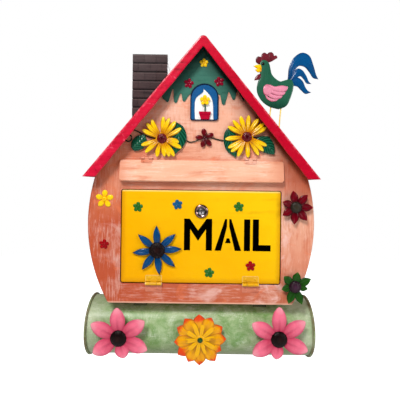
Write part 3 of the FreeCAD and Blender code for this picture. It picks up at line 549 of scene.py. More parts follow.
# %% Floor
FLOOR_DROP, FLOOR_R, FLOOR_SIDES = 260.0, 2400.0, 96
FLOOR_Z = cad_low[2] / MM - FLOOR_DROP
angles = np.linspace(0, 2 * math.pi, FLOOR_SIDES, endpoint=False)
floor_ring = np.stack([FLOOR_R * np.cos(angles), FLOOR_R * np.sin(angles),
                       np.full(FLOOR_SIDES, FLOOR_Z)], axis=-1)
floor_mesh = bpy.data.meshes.new("floor")
floor_mesh.from_pydata((floor_ring * MM).tolist(), [], [tuple(range(FLOOR_SIDES))])
floor = bpy.data.objects.new("floor", floor_mesh)
bpy.context.scene.collection.objects.link(floor)
floor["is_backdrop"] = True
floor_paint = bpy.data.materials.new("pale_floor")
floor_paint.use_nodes = True
tree = floor_paint.node_tree
glow = node(tree, "ShaderNodeLightPath", "Is Camera Ray") * 0.9
for name, value in (("Base Color", (0.86, 0.86, 0.86, 1)), ("Roughness", 0.9),
                    ("Emission Color", (1, 1, 1, 1)), ("Emission Strength", glow)):
    feed(value, tree.nodes["Principled BSDF"].inputs[name])
floor_mesh.materials.append(floor_paint)
bpy.context.scene.view_settings.view_transform = "Standard"
print("floor at", round(FLOOR_Z), "mm")

# %% [markdown]
# ## Paint
# The maker paints in thin coats over steel: a light and a dark tone worked together with a
# brush, a few blotches where the coat pooled, fine speckle, and slight ripples in the gloss.
# The brushed group works two tones into each other along the strokes. The strokes run
# sideways or upright, and pools of a deep tone gather where clouds and strokes meet.

# %% The brushed paint group
brushed, gi, go = new_group(
    "brushed_paint",
    {"Light": (1, 1, 1, 1), "Dark": (0.5, 0.5, 0.5, 1), "Deep": (0.3, 0.2, 0.2, 1),
     "Bias": 0.0, "Streaks": 0.7, "Blotch": 0.6, "Size": 1.0, "Upright": 0.0},
    ["Colour", "Rough", "Height"])
here = spot(brushed, gi["Size"])
flat_strokes = noise(here, 26.0, 5.0, 0.62, (0.35, 1.0, 3.6), (0, 0.12, 0), 0.4)
up_strokes = noise(here, 26.0, 5.0, 0.62, (3.4, 3.4, 0.3), (0, 0.1, 0), 0.4)
strokes = flat_strokes + (up_strokes - flat_strokes) * gi["Upright"]
clouds = noise(here, 13.0, 5.0, 0.6, warp=0.8)
fine = noise(here, 260.0, 3.0, 0.6)
grain = noise(here, 900.0, 2.0, 0.5)
tone = (strokes - 0.5) * gi["Streaks"] + (clouds - 0.5) * gi["Blotch"] + gi["Bias"]
tone = tone + (fine - 0.5) * 0.22
pool = step(clouds * strokes, 0.31, 0.44) * gi["Blotch"]
feed(coats(gi["Light"], (step(tone, -0.45, 0.45), gi["Dark"]), (pool, gi["Deep"])), go["Colour"])
feed(step(clouds, 0.3, 0.7, 0.24, 0.38), go["Rough"])
feed(strokes * 0.5 + grain * 0.1 + fine * 0.16, go["Height"])
print("brushed_paint has", len(brushed.nodes), "nodes")

# %% [markdown]
# Two masks are shared by several paints. Dry brushing leaves thin broken strokes where the
# bristles ran out of paint. The other is painted shade on the front just under the roof edge,
# where the sheet is set back under the overhang: it fades with the distance to the slope.

# %% Dry-brush and under-roof shade masks
SLOPE = 1.2162
RIDGE = 316.0
dry, gi, go = new_group("dry_brush", {"Size": 1.0, "Upright": 0.0, "Cover": 0.0}, ["Mask"])
here = spot(dry, gi["Size"])
side_hairs = noise(here, 84.0, 6.0, 0.74, (0.4, 1.0, 4.6), (0, 0.1, 0), 0.7)
up_hairs = noise(here, 84.0, 6.0, 0.74, (4.6, 4.6, 0.4), (0, 0.08, 0), 0.7)
patch = noise(here, 20.0, 4.0, 0.6, warp=0.6) - 0.5
hairs = side_hairs + (up_hairs - side_hairs) * gi["Upright"] + patch * 0.5 + gi["Cover"]
feed(step(hairs, 0.48, 0.66), go["Mask"])

under_roof_shade, gi, go = new_group("under_roof_shade", {"Reach": 28.0}, ["Mask"])
x, y, z = position(under_roof_shade)
drop = (abs(x) * -SLOPE + RIDGE - z) / math.hypot(1.0, SLOPE)
feed((1.0 - (drop - 13.0) / gi["Reach"]).clamped() ** 2.0, go["Mask"])
print("masks ready")

# %% [markdown]
# A paint is started with its tree and shader, and finished by feeding colour, roughness and
# a fine bump. The gloss is kept low, because thin enamel on sheet is satin rather than wet.


# %% Starting and finishing a paint
def start_paint(name):
    """New material with its node tree and its Principled shader."""
    mat = bpy.data.materials.new(name)
    mat.use_nodes = True
    return mat, mat.node_tree, mat.node_tree.nodes["Principled BSDF"]


def use_brushed(tree, light, dark, deep, **options):
    """Place the brushed group. Options are its other inputs in small letters."""
    named = {key.capitalize(): value for key, value in options.items()}
    return use(tree, brushed, Light=light, Dark=dark, Deep=deep, **named)


def use_dry(tree, size, upright, cover):
    """Mask of thin broken strokes. A larger size gives finer strokes."""
    return use(tree, dry, Size=size, Upright=upright, Cover=cover)["Mask"]


def roof_shade(tree, amount, reach):
    """Painted shade mask close under the roof edge. amount is a number or a mask."""
    return use(tree, under_roof_shade, Reach=reach)["Mask"] * amount


def bump(shader, height, strength=0.25, distance=0.4):
    """Bend the shading by a height, which spans the distance in millimetres."""
    feed(node(height.tree, "ShaderNodeBump", Strength=strength, Distance=distance * MM,
              Height=height), shader.inputs["Normal"])


def finish_paint(shader, colour, g, gloss=0.13, strength=0.25, coat=0.02):
    """Feed the shader from a colour and the Rough and Height of a placed group."""
    for value, name in ((colour, "Base Color"), (g["Rough"], "Roughness"),
                        (gloss, "Specular IOR Level"), (coat, "Coat Weight"),
                        (0.22, "Coat Roughness")):
        feed(value, shader.inputs[name])
    bump(shader, g["Height"], strength)


def simple_paint(name, light, dark, deep, **options):
    """A brushed paint with nothing laid over it."""
    mat, tree, shader = start_paint(name)
    g = use_brushed(tree, light, dark, deep, **options)
    finish_paint(shader, g["Colour"], g)
    return mat


print("paint makers ready")

# %% [markdown]
# ### Housing
# The salmon body is lightest under the gable and at the right, and turns to brick red at the
# lower left, where a darker glaze was brushed on. A slow gradient in height and width drives
# the mix, and the strokes run upright on the stiles and the gable.

# %% Salmon housing paint
body_paint, tree, shader = start_paint("body_paint")
x, y, z = position(tree)
where = spot(tree)
drift = noise(where, 11.0, 4.0, 0.55, warp=0.5)
slow = x * 0.0017 + (z * 0.0022 + 0.36) + (drift - 0.5)
tones = fill(node(tree, "ShaderNodeValToRGB"), slow)
stops = tones.socket.node.color_ramp.elements
stops[0].position, stops[0].color = 0.0, ink(190, 84, 54)
stops[1].position, stops[1].color = 1.0, ink(248, 198, 174)
for at, colour in ((0.25, ink(202, 108, 76)), (0.5, ink(228, 150, 120)),
                   (0.75, ink(240, 180, 152))):
    stops.new(at).color = colour
upright = (step(z, 120.0, 160.0) * 0.5 + step(abs(x), 122.0, 134.0)).clamped()
g = use_brushed(tree, tones, mix(0.45, tones, ink(198, 96, 62)), mix(0.5, tones, ink(176, 70, 42)),
                bias=-0.12, streaks=0.9, blotch=0.5, size=1.6, upright=upright)
pale = mix(0.6, tones, ink(255, 226, 212))
print("body tones ready")

# %% [markdown]
# Over the tones come pale and rusty dry strokes, orange dabs, pale rubbed patches, painted
# shade under the roof edge, a painted shadow under the flap, and a rust stain at the upper right.
# The bottom fold gets a painted highlight, and the inner face of the back panel is left in dark
# primer.

# %% Marks of use, painted shade and painted highlight on the housing
stain = fill(node(tree, "ShaderNodeVectorMath", "Value", {"operation": "DISTANCE"}), where,
             (0.152, PANEL_Y * MM, 0.088))
rusty = step(drift * 0.05 + stain, 0.09, 0.035)
dabs = step(noise(where, 30.0, 5.0, 0.62, warp=1.0), 0.54, 0.68)
pale_marks = (step(noise(where, 19.0, 5.0, 0.6, warp=0.9), 0.54, 0.7)
          * step(x, -60.0, 120.0, 0.25, 0.75) * step(z, 80.0, 45.0, 0.3, 1.0))
# painted shade just under the roof edge, weaker at the left, and a painted shadow below the flap
shaded = roof_shade(tree, step(x, -110.0, 110.0, 0.3, 1.0, False), 36.0)
flap_shadow = (step(abs(z - 80.0), 12.0, 7.0) * step(abs(x), 138.0, 126.0)
              * step(y, -80.0, -96.0))
facing = node(tree, "ShaderNodeSeparateXYZ", 1,
              Vector=node(tree, "ShaderNodeNewGeometry", "Normal"))
inner = step(y, -96.0, -80.0) * step(facing, -0.4, -0.6)
shown = coats(
    g["Colour"], (use_dry(tree, 1.0, upright, 0.0) * 0.5, pale),
    (use_dry(tree, 0.62, upright, -0.03) * 0.5, ink(200, 88, 46)),
    (dabs * 0.5, ink(230, 122, 78)), (pale_marks, ink(246, 206, 196)), (shaded, ink(124, 50, 26)),
    (flap_shadow * 0.35, ink(172, 116, 96)), (rusty * 0.75, ink(186, 84, 52)),
    # painted highlight along the bottom fold
    (step(z, -106.5, -109.5) * 0.8, ink(250, 200, 172)), (inner, ink(22, 17, 15)))
finish_paint(shader, shown, g, strength=0.22)
print("body paint has", len(tree.nodes), "nodes")

# %% [markdown]
# ### Flap, door and roof
# The flap is the palest salmon, brushed sideways. The door is egg-yolk yellow with a paler
# upper right and an ochre lower left. The roof is crimson with pink and dark streaks.

# %% Flap, door and roof paints
flap_paint, tree, shader = start_paint("flap_paint")
x, y, z = position(tree)
g = use_brushed(tree, ink(248, 194, 164), ink(234, 164, 132), ink(216, 128, 96), bias=-0.1,
                streaks=1.4, blotch=0.55, size=1.2)
shown = coats(g["Colour"], (use_dry(tree, 0.9, 0.0, -0.02) * 0.6, ink(255, 222, 202)),
              (step(abs(x), 100.0, 131.0) * 0.6, ink(218, 132, 100)))
finish_paint(shader, shown, g, strength=0.2)

door_paint, tree, shader = start_paint("door_paint")
x, y, z = position(tree)
drift = noise(spot(tree), 12.0, 3.0, 0.5, warp=0.6)
slow = x * 0.0026 + (z * 0.002 + 0.42) + (drift - 0.5) * 0.9
warm = mix(step(slow, 0.0, 0.9, smooth=False), ink(248, 176, 0), ink(255, 204, 12))
g = use_brushed(tree, warm, mix(0.3, warm, ink(222, 150, 0)), ink(206, 132, 4), bias=-0.12,
                streaks=0.5, blotch=0.3, size=0.8)
# painted shade along the side and bottom rims, and a painted highlight along the top edge
rim_shade = step(abs(x), 117.0, 127.5).math("MAXIMUM", step(z, -66.0, -77.5))
shown = coats(g["Colour"], (rim_shade * 0.5, ink(190, 112, 14)),
              (step(z, 67.5, 70.5) * 0.6, ink(255, 228, 150)))
finish_paint(shader, shown, g, gloss=0.07, strength=0.14, coat=0.01)

roof_paint = simple_paint("roof_paint", ink(214, 18, 52), ink(170, 0, 30), ink(108, 0, 22),
                          bias=-0.05, streaks=0.8, blotch=0.6, size=1.5)
print("flap, door and roof paints ready")

# %% [markdown]
# ### Gable and window
# Sage green with darker pools for the hanging sheet, and small flat coats for the window: navy
# rim, blue curtain, white pane, crimson pot and green stem.

# %% Gable and window paints
overlay_paint, tree, shader = start_paint("overlay_paint")
x, y, z = position(tree)
g = use_brushed(tree, ink(70, 124, 108), ink(46, 94, 82), ink(22, 54, 46), bias=-0.05,
                streaks=0.6, blotch=0.6, size=1.8)
smudge = step(noise(spot(tree), 60.0, 5.0, 0.65, warp=1.0), 0.55, 0.7)
shaded = roof_shade(tree, step(x, -60.0, 60.0, 0.55, 0.95, False), 24.0)
shown = coats(g["Colour"], (smudge * 0.3, ink(26, 56, 48)),
              (step(z, 226.0, 212.0) * 0.35, ink(30, 62, 52)), (shaded, ink(6, 22, 18)))
finish_paint(shader, shown, g, strength=0.25)
navy_paint = simple_paint("navy_paint", ink(22, 38, 66), ink(10, 22, 44), ink(4, 8, 20), size=3.0)
blue_paint = simple_paint("blue_paint", ink(32, 100, 158), ink(14, 68, 120), ink(8, 40, 84),
                          streaks=0.4, blotch=0.4, size=3.0)
white_paint = simple_paint("white_paint", ink(255, 255, 253), ink(246, 246, 244),
                           ink(230, 230, 226), streaks=0.3, blotch=0.2, size=3.0)
pot_paint = simple_paint("pot_paint", ink(190, 8, 48), ink(150, 0, 34), ink(92, 0, 22), size=3.0)
stem_paint = simple_paint("stem_paint", ink(12, 78, 50), ink(0, 56, 38), ink(0, 36, 26), size=3.0)
print("gable and window paints ready")

# %% [markdown]
# ### Chimney
# Each course of the brick pattern is a long board with upright cuts staggered by half a brick.
# The cuts are pressed into the sheet; soot in them, a painted highlight on the upper lip of each
# course and painted shade on its lower part make them read. The paint follows the same rows and
# joints as the pressing.

# %% Chimney paint
COURSE, BRICK = 15.0, 20.0
chimney_low, chimney_high = span("chimney")
chimney_paint, tree, shader = start_paint("chimney_paint")
x, y, z = position(tree)
g = use_brushed(tree, ink(92, 76, 76), ink(62, 48, 50), ink(34, 24, 28), bias=0.0, streaks=0.9,
                blotch=0.7, size=2.6)
course = (float(chimney_high[2]) - z) / COURSE
row, down = course.math("FLOOR"), course.math("FRACT")
column = (x - chimney_low[0]) / BRICK + row % 2.0 * 0.5
brick = fill(node(tree, "ShaderNodeCombineXYZ"), row, column.math("FLOOR"))
chance = node(tree, "ShaderNodeTexWhiteNoise", "Value", {"noise_dimensions": "2D"}, Vector=brick)
groove_x = (step(abs(column.math("FRACT") - 0.5), 0.44, 0.47)
            * step(y, chimney_low[1] + 0.8, chimney_low[1] + 0.5))
grooves = step(abs(down - 0.5), 0.37, 0.44).math("MAXIMUM", groove_x * 0.15)
toned = coats(g["Colour"], (chance * 0.35, ink(34, 24, 28)),
              # painted highlight on the upper lip of each course, painted shade on its lower part
              (step(down, 0.24, 0.08) * 0.5, ink(128, 110, 108)),
              (step(down, 0.7, 1.0) * 0.45, ink(30, 18, 22)), (grooves * 0.85, ink(20, 10, 14)))
finish_paint(shader, toned, g, strength=0.35, coat=0.0)
print("chimney courses of", COURSE, "mm")

# %% [markdown]
# ### Newspaper tube
# The tube is sponged with whitish sage over moss green, then scratched with a stiff brush. Its
# underside gets painted shade in olive, the crown just under the housing a faint painted shadow,
# and the rolled rims are rubbed back to brown.

# %% Tube paint
tube_paint, tree, shader = start_paint("tube_paint")
x, y, z = position(tree)
where = spot(tree)
moss = step(noise(where, 34.0, 7.0, 0.74, warp=0.7), 0.32, 0.66)
base = mix(moss, ink(188, 206, 164), ink(124, 162, 94))
g = use_brushed(tree, base, mix(0.5, base, ink(108, 136, 78)), ink(112, 126, 92), bias=-0.1,
                streaks=0.5, blotch=0.4, size=2.2, upright=0.4)
speck = step(noise(where, 90.0, 5.0, 0.6), 0.35, 0.6)
shown = coats(
    g["Colour"], (use_dry(tree, 2.1, 0.5, -0.01) * 0.5, ink(230, 238, 220)),
    (use_dry(tree, 1.7, 0.5, -0.03) * 0.45, ink(92, 138, 70)),
    (step(abs(x), 130.0, 176.0) * 0.35, ink(214, 216, 194)),
    # painted shade on the underside and a faint painted shadow on the crown under the housing
    (step(z, -168.0, -206.0) * 0.7, ink(116, 122, 84)),
    (step(z, -136.0, -118.0) * 0.25, ink(92, 104, 74)),
    (step(abs(x), 181.0, 184.0) * 0.8, mix(speck, ink(134, 150, 106), ink(104, 80, 48))))
finish_paint(shader, shown, g, strength=0.3, coat=0.08)
saddle_paint = simple_paint("saddle_paint", ink(96, 106, 74), ink(70, 80, 54), ink(44, 50, 34))
print("tube paint ready")

# %% [markdown]
# ### Petal paint
# Pressed blades carry two point values: how far along and how far across. The petal group
# darkens the root, tints the tip, paints shade along the edges and in the middle crease, and
# adds mottling.

# %% The petal paint group
petals, gi, go = new_group(
    "petal_paint",
    {"Main": (1, 1, 0, 1), "Root": (0.8, 0.4, 0, 1), "Tip": (1, 1, 0.2, 1),
     "Shade": (0.5, 0.3, 0, 1), "Root reach": 0.35, "Tip from": 0.7, "Edge": 0.5,
     "Middle": 0.0, "Mottle": 0.5, "Size": 1.0},
    ["Colour", "Rough", "Height"])
along, side = mark(petals, "along"), abs(mark(petals, "across"))
here = spot(petals, gi["Size"])
cloud = noise(here, 70.0, 5.0, 0.62, warp=0.8)
fine = noise(here, 420.0, 3.0, 0.6)
wobble = (cloud - 0.5) * 0.5
reached = along + wobble
middle = step(wobble * 0.3 + side, 0.3, 0.04) * (along * -1.5 + 1.0).clamped()
feed(coats(gi["Root"], ((reached / gi["Root reach"]).clamped(), gi["Main"]),
           (step(reached - gi["Tip from"], 0.0, 0.28), gi["Tip"]),
           # painted shade along the edges and in the middle crease
           (step(side + wobble, 0.55, 1.1) * gi["Edge"], gi["Shade"]),
           (middle * gi["Middle"], gi["Shade"]),
           (step(cloud, 0.48, 0.72) * gi["Mottle"], gi["Shade"])), go["Colour"])
feed(step(cloud, 0.3, 0.7, 0.17, 0.3), go["Rough"])
feed(cloud * 0.6 + fine * 0.2, go["Height"])
print("petal_paint has", len(petals.nodes), "nodes")

# %% [markdown]
# One table row makes one petal paint: its main, root, tip and shade colours, then how far the
# root colour reaches, how strong the edge shade is and how mottled it is.


# %% Petal paints
def petal_paint(name, main, root, tip, shade_colour, reach=0.35, edge=0.5, mottle=0.4, size=1.0,
                gloss=0.25, coat=0.06, tip_from=0.7, middle=0.0):
    mat, tree, shader = start_paint(name)
    g = use(tree, petals, Main=ink(*main), Root=ink(*root), Tip=ink(*tip),
            Shade=ink(*shade_colour), Root_reach=reach, Tip_from=tip_from, Edge=edge,
            Middle=middle, Mottle=mottle, Size=size)
    finish_paint(shader, g["Colour"], g, gloss=gloss, strength=0.2, coat=coat)
    return mat


SATIN = {"gloss": 0.16, "coat": 0.0}
daisy_paint = petal_paint("daisy_paint", (254, 204, 6), (186, 82, 0), (255, 226, 44), (164, 84, 0),
                          0.5, 0.95, 0.3, middle=0.6)
maroon_paint = petal_paint("maroon_paint", (104, 8, 18), (50, 0, 8), (136, 16, 32), (44, 0, 8), 0.4,
                           0.4, 0.5)
rivet_paint = petal_paint("rivet_paint", (22, 66, 28), (40, 92, 40), (10, 40, 18), (8, 30, 14), 0.4,
                          0.0, 0.4)
vine_paint = petal_paint("vine_paint", (34, 44, 30), (22, 26, 18), (34, 50, 34), (16, 16, 12), 0.3,
                         0.0, 0.5)
yellow_paint = petal_paint("yellow_paint", (254, 212, 20), (234, 146, 4), (255, 226, 50),
                           (232, 150, 4), 0.45, 0.45, 0.2, **SATIN)
leg_paint = petal_paint("leg_paint", (252, 226, 120), (252, 226, 120), (240, 200, 90),
                        (196, 148, 60), 0.3, 0.0, 0.4)
red_paint = petal_paint("red_paint", (164, 4, 14), (96, 0, 8), (180, 14, 26), (88, 2, 14), 0.3, 0.4,
                        0.4, **SATIN)
crimson_paint = petal_paint("crimson_paint", (140, 10, 40), (92, 0, 28), (164, 22, 56), (58, 0, 18),
                            0.3, 0.5, 0.5, **SATIN)
dark_paint = petal_paint("dark_paint", (24, 9, 10), (40, 16, 15), (10, 4, 6), (6, 3, 4), 0.3, 0.0,
                         0.5, gloss=0.12, coat=0.0)
print("petal paints ready")

# %% [markdown]
# The leaves use the same group with veins on top: the raised veins and midrib get a painted
# highlight and the valleys between them painted shade. The vein lines follow the pressed ones.

# %% Leaf paint
leaf_paint, tree, shader = start_paint("leaf_paint")
g = use(tree, petals, Main=ink(0, 78, 52), Root=ink(0, 54, 40), Tip=ink(6, 88, 60),
        Shade=ink(0, 38, 30), Edge=0.5, Mottle=0.5)
along, side = mark(tree, "along"), abs(mark(tree, "across"))
vein = ((side * -2.4 + along * 8.0) * (2 * math.pi)).math("COSINE")
# painted highlight on the raised veins and midrib, painted shade in the valleys between them
pale_marks = step(vein, 0.45, 1.0).math("MAXIMUM", step(side, 0.09, 0.0))
shown = coats(g["Colour"], (step(vein, 0.1, -0.9) * 0.55, ink(0, 40, 30)),
              (pale_marks * 0.5, ink(44, 132, 100)))
finish_paint(shader, shown, g, gloss=0.35, strength=0.2, coat=0.15)
print("leaf paint ready")

# %% [markdown]
# ### Bare metal
# Pins, screws and the cam are zinc plated steel with fine scratches and dull clouds.

# %% Steel
steel, tree, shader = start_paint("steel")
where = spot(tree)
scratch = noise(where, 700.0, 6.0, 0.7, (1.0, 1.0, 0.15), (0, 0.5, 0))
bright = ink(178, 176, 170)
dull = tuple(c * 0.62 for c in bright[:3]) + (1.0,)
feed(mix(step(noise(where, 120.0, 3.0, 0.5), 0.45, 0.75), bright, dull),
     shader.inputs["Base Color"])
feed(step(scratch, 0.3, 0.7, 0.36 * 0.7, 0.36 * 1.4), shader.inputs["Roughness"])
shader.inputs["Metallic"].default_value = 1.0
bump(shader, scratch, 0.15, 0.2)
print("steel ready")

# %% [markdown]
# The lock's face is chromed and spun, not flat: a raised rim, a groove and a domed plug. The
# rings are worked out from the distance to the lock axis and pressed into the reflections.

# %% Chrome lock face
lock_low, lock_high = span("lock_housing")
lock_x, _, lock_z = ((lock_low + lock_high) / 2).tolist()
chrome, tree, shader = start_paint("chrome")
x, y, z = position(tree)
radius = ((x - lock_x) ** 2.0 + (z - lock_z) ** 2.0).math("SQRT")
# painted shade in the groove round the plug, and the rim darkened too
dark_rings = step(abs(radius - 6.0), 0.9, 0.2).math("MAXIMUM", step(radius, 9.6, 10.9))
silver = mix(step(radius, 5.6, 7.4), ink(206, 200, 204), ink(146, 116, 112))
feed(mix(dark_rings * 0.9, silver, ink(74, 44, 34)), shader.inputs["Base Color"])
shader.inputs["Metallic"].default_value = 1.0
feed(step(noise(spot(tree), 420.0, 4.0, 0.6), 0.3, 0.7, 0.16, 0.3), shader.inputs["Roughness"])
bump(shader, step(abs(radius - 8.6), 2.4, 0.0) * 1.4 + step(radius, 6.2, 0.0) * 1.6, 0.7, 1.0)
print("lock at", round(lock_x, 1), round(lock_z, 1))

# %% [markdown]
# The door hinges were brushed over with the door's yellow. Their raised edges get a painted
# highlight, and the fixed leaf below goes back to the housing colour.

# %% Door hinge paints
leaf_low, leaf_high = span("door_hinge_moving")
pin_low = span("door_hinge_pins")[0]
HINGE_HALF = 13.2


def hinge_paint(name, lower_part):
    """Yellow barrel and leaf, edges with a painted highlight. Below the barrel it may turn salmon.
    """
    mat, tree, shader = start_paint(name)
    x, y, z = position(tree)
    gap = abs(x - (leaf_low[0] + HINGE_HALF)).math(
        "MINIMUM", abs(x - (leaf_high[0] - HINGE_HALF)))
    g = use_brushed(tree, ink(246, 190, 16), ink(214, 150, 6), ink(150, 92, 10), streaks=0.6,
                    blotch=0.5, size=2.5)
    # painted highlight on the raised edges
    pale_marks = step(gap, HINGE_HALF - 1.5, HINGE_HALF - 0.4).math(
        "MAXIMUM", step(z, leaf_high[2] - 1.5, leaf_high[2] - 0.5))
    shown = mix(pale_marks * 0.28, g["Colour"], ink(255, 240, 170))
    if lower_part:
        salmon = use_brushed(tree, ink(222, 140, 112), ink(196, 104, 78), ink(150, 64, 44),
                             streaks=0.8, blotch=0.5, size=1.6)
        shown = mix(step(z, pin_low[2] - 0.2, pin_low[2] - 1.4), shown, salmon["Colour"])
    finish_paint(shader, shown, g, gloss=0.3)
    return mat


moving_hinge_paint = hinge_paint("moving_hinge_paint", False)
fixed_hinge_paint = hinge_paint("fixed_hinge_paint", True)
print("hinge leaf top at", round(float(leaf_high[2]), 1), "pins from", np.round(pin_low, 1))

# %% [markdown]
# Each carried-over CAD node gets its finish by name.

# %% Finishes for the CAD nodes that stay
finishes = {
    body_paint: "front_panel back_panel floor_plate side_wall_left side_wall_right "
                "flap_hinge_fixed flap_hinge_moving",
    steel: "tube_bolts flap_hinge_pins door_hinge_pins lock_nut lock_cam cam_bolt",
    chrome: "lock_housing lock_plug", saddle_paint: "tube_saddles", roof_paint: "roof_sheet",
    chimney_paint: "chimney", overlay_paint: "gable_overlay", navy_paint: "window_frame",
    white_paint: "window_pane", blue_paint: "window_curtain", pot_paint: "window_pot",
    stem_paint: "window_stem", tube_paint: "newspaper_tube", flap_paint: "letter_flap",
    door_paint: "door_panel", fixed_hinge_paint: "door_hinge_fixed",
    moving_hinge_paint: "door_hinge_moving",
}


def dress(data, mat):
    """Give a mesh one material, whatever slots it came with."""
    if not data.materials:
        data.materials.append(mat)
    for i in range(len(data.materials)):
        data.materials[i] = mat


for mat, names in finishes.items():
    for name in names.split():
        dress(nodes[name].data, mat)
print(sum(len(names.split()) for names in finishes.values()), "CAD nodes dressed")

# %% [markdown]
# A new piece is merged from its parts, painted and set on the body that carries it, and the CAD
# blanks it stands for are hidden.


# %% A new piece: mesh, finish, body and the nodes it stands for
def piece(name, parts, mat, body_name, stands_for=(), sharp=40.0):
    """Merged parts as one painted object that rides on a body."""
    verts, quads, tris, marks = merge(parts)
    obj = mesh_object(name, verts, quads, tris, marks, sharp)
    obj.data.materials.append(mat)
    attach(obj, body_name)
    if stands_for:
        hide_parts(*stands_for)
    print(name, len(verts), "vertices")
    return obj


# %% [markdown]
# ## Roof edge
# The front of the roof ends in a flat rolled band with soft edges, a little wavy from being
# bent by hand. It is one blade whose edges are the outer and inner lines of the gable.

# %% Roof band
band_low, band_high = span("roof_band")
tip_x = band_high[0]
eave = band_low[2]
ridge_r = 7.0
lean = math.atan(SLOPE)
crown_z = RIDGE - ridge_r / math.cos(lean)
outer = [(-tip_x, eave)]
s = np.linspace(0.04, 0.955, 24)
foot_x = ridge_r * math.sin(lean)
outer += [(-tip_x + (tip_x - foot_x) * k, eave + SLOPE * (tip_x - foot_x) * k) for k in s]
turn = np.linspace(-lean, lean, 9)
outer += [(ridge_r * math.sin(q), crown_z + ridge_r * math.cos(q)) for q in turn]
outer += [(-px, pz) for px, pz in outer[24::-1]]
outer = np.array(outer)
BAND_WIDE, BAND_HIGH = 20.2, 20.6
foot = tip_x - BAND_WIDE
inner_top = RIDGE - BAND_HIGH
share = np.abs(outer[:, 0]) / tip_x
inner = np.stack([outer[:, 0] / tip_x * foot, inner_top - share * (inner_top - eave)], -1)
waves = 0.35 * np.sin(outer[:, 0] * 0.16) + 0.25 * np.sin(outer[:, 0] * 0.41 + 1.0)
inner[:, 1] += waves * np.clip((1 - share) * 8, 0, 1) * np.clip(share * 8, 0, 1)


def flat_band(left, right, y_back, thick, count):
    """Band with softly rounded long edges and a faint hollow and ripple.

    Height = thick * (0.35 + 0.65 * (1 - v^10)^0.5) - 0.18 * exp(-(1.6 v)^2).
    """
    le, ri = smooth_line(left, count), smooth_line(right, count)
    v = np.array([-1, -0.985, -0.94, -0.86, -0.6, -0.3, 0, 0.3, 0.6, 0.86, 0.94, 0.985, 1.0])[None]
    mid = (le + ri)[:, None] / 2 + (ri - le)[:, None] / 2 * v[..., None]
    high = thick * (0.35 + 0.65 * np.clip(1 - v**10, 0, 1) ** 0.5) - 0.18 * np.exp(-(v * 1.6)**2)
    ripple = 0.12 * np.sin(le[:, :1] * 0.19 + le[:, 1:] * 0.05)
    front = np.stack([mid[..., 0], y_back - high - ripple * (1 - v**2), mid[..., 1]], -1)
    vb = v[:, ::-1]
    bm = (le + ri)[:, None] / 2 + (ri - le)[:, None] / 2 * vb[..., None]
    back = np.stack([bm[..., 0], np.full(bm.shape[:2], y_back), bm[..., 1]], -1)
    rows = np.concatenate([front, back], axis=1)
    t = np.broadcast_to(np.linspace(0, 1, count)[:, None], rows.shape[:2])
    vv = np.broadcast_to(np.concatenate([v, vb], 1), rows.shape[:2])
    return loft(rows, {"along": t, "across": vv}, flip=True)


band = flat_band(outer, inner, band_high[1], 1.9, 260)
print("roof edge from", round(float(eave), 1), "to", round(float(crown_z + ridge_r), 1))

# %% [markdown]
# The band is crimson, brighter at the left where the light falls. Its outer edge is chipped to
# pink, with pink flecks, more of them on the lit left as painted highlight, and dark smoke over
# the rest.

# %% Roof band paint
band_paint, tree, shader = start_paint("band_paint")
x, y, z = position(tree)
where = spot(tree)
sunny = step(x, 60.0, -60.0)
g = use_brushed(tree, mix(sunny, ink(196, 2, 38), ink(224, 26, 62)), ink(180, 0, 36),
                ink(126, 0, 24), bias=-0.05, streaks=0.8, blotch=0.8, size=2.6)
chips = step(noise(where, 150.0, 5.0, 0.65), 0.46, 0.64)
worn = step(mark(tree, "across"), -0.5, -1.0) * chips
# pink flecks, thicker on the left as painted highlight where the light falls
flecks = step(noise(where, 80.0, 6.0, 0.72, warp=0.8), 0.58, 0.7) * (sunny * 0.45 + 0.12)
smoke = step(noise(where, 60.0, 6.0, 0.7, warp=1.0), 0.56, 0.7)
shown = coats(g["Colour"], (worn * 0.8, ink(250, 132, 146)), (flecks, ink(248, 104, 128)),
              (smoke * 0.45, ink(128, 0, 28)))
finish_paint(shader, shown, g, strength=0.22, coat=0.3)
piece("roof_edge", [band], band_paint, "housing", ["roof_band"], sharp=60)

# %% [markdown]
# ## Daisies
# Fifteen narrow petals round a domed middle. Each petal is pressed with two creases, so its
# front is three soft ridges. Real ones are cut one by one, so the angles are uneven.

# %% Daisies with domed middles
DAISY_L = (-63.6, 152.9)
DAISY_R = (71.0, 157.1)
left_angles = [4, 17, 40, 65, 97, 115, 143, 156, 171, 199, 231, 249, 290, 310, 326]
right_angles = [5, 28, 53, 67, 115, 128, 144, 176, 206, 222, 235, 264, 299, 318, 340]
flap_axis_z = np.array(frame["joints"][0]["pos_m"])[2] / MM


def petal_limit(angle, cz, tip):
    """Keep a drooping petal above the flap that swings up below it."""
    down = -math.cos(math.radians(angle))
    return tip if down < 0.5 else min(tip, (cz - flap_axis_z - 2.8) / down)


def creases(depth, count=2.0):
    """Grooves that run along a petal: depth * cos(count * pi * v)."""
    return lambda t, v: -depth * np.cos(count * math.pi * v) * np.ones_like(t)


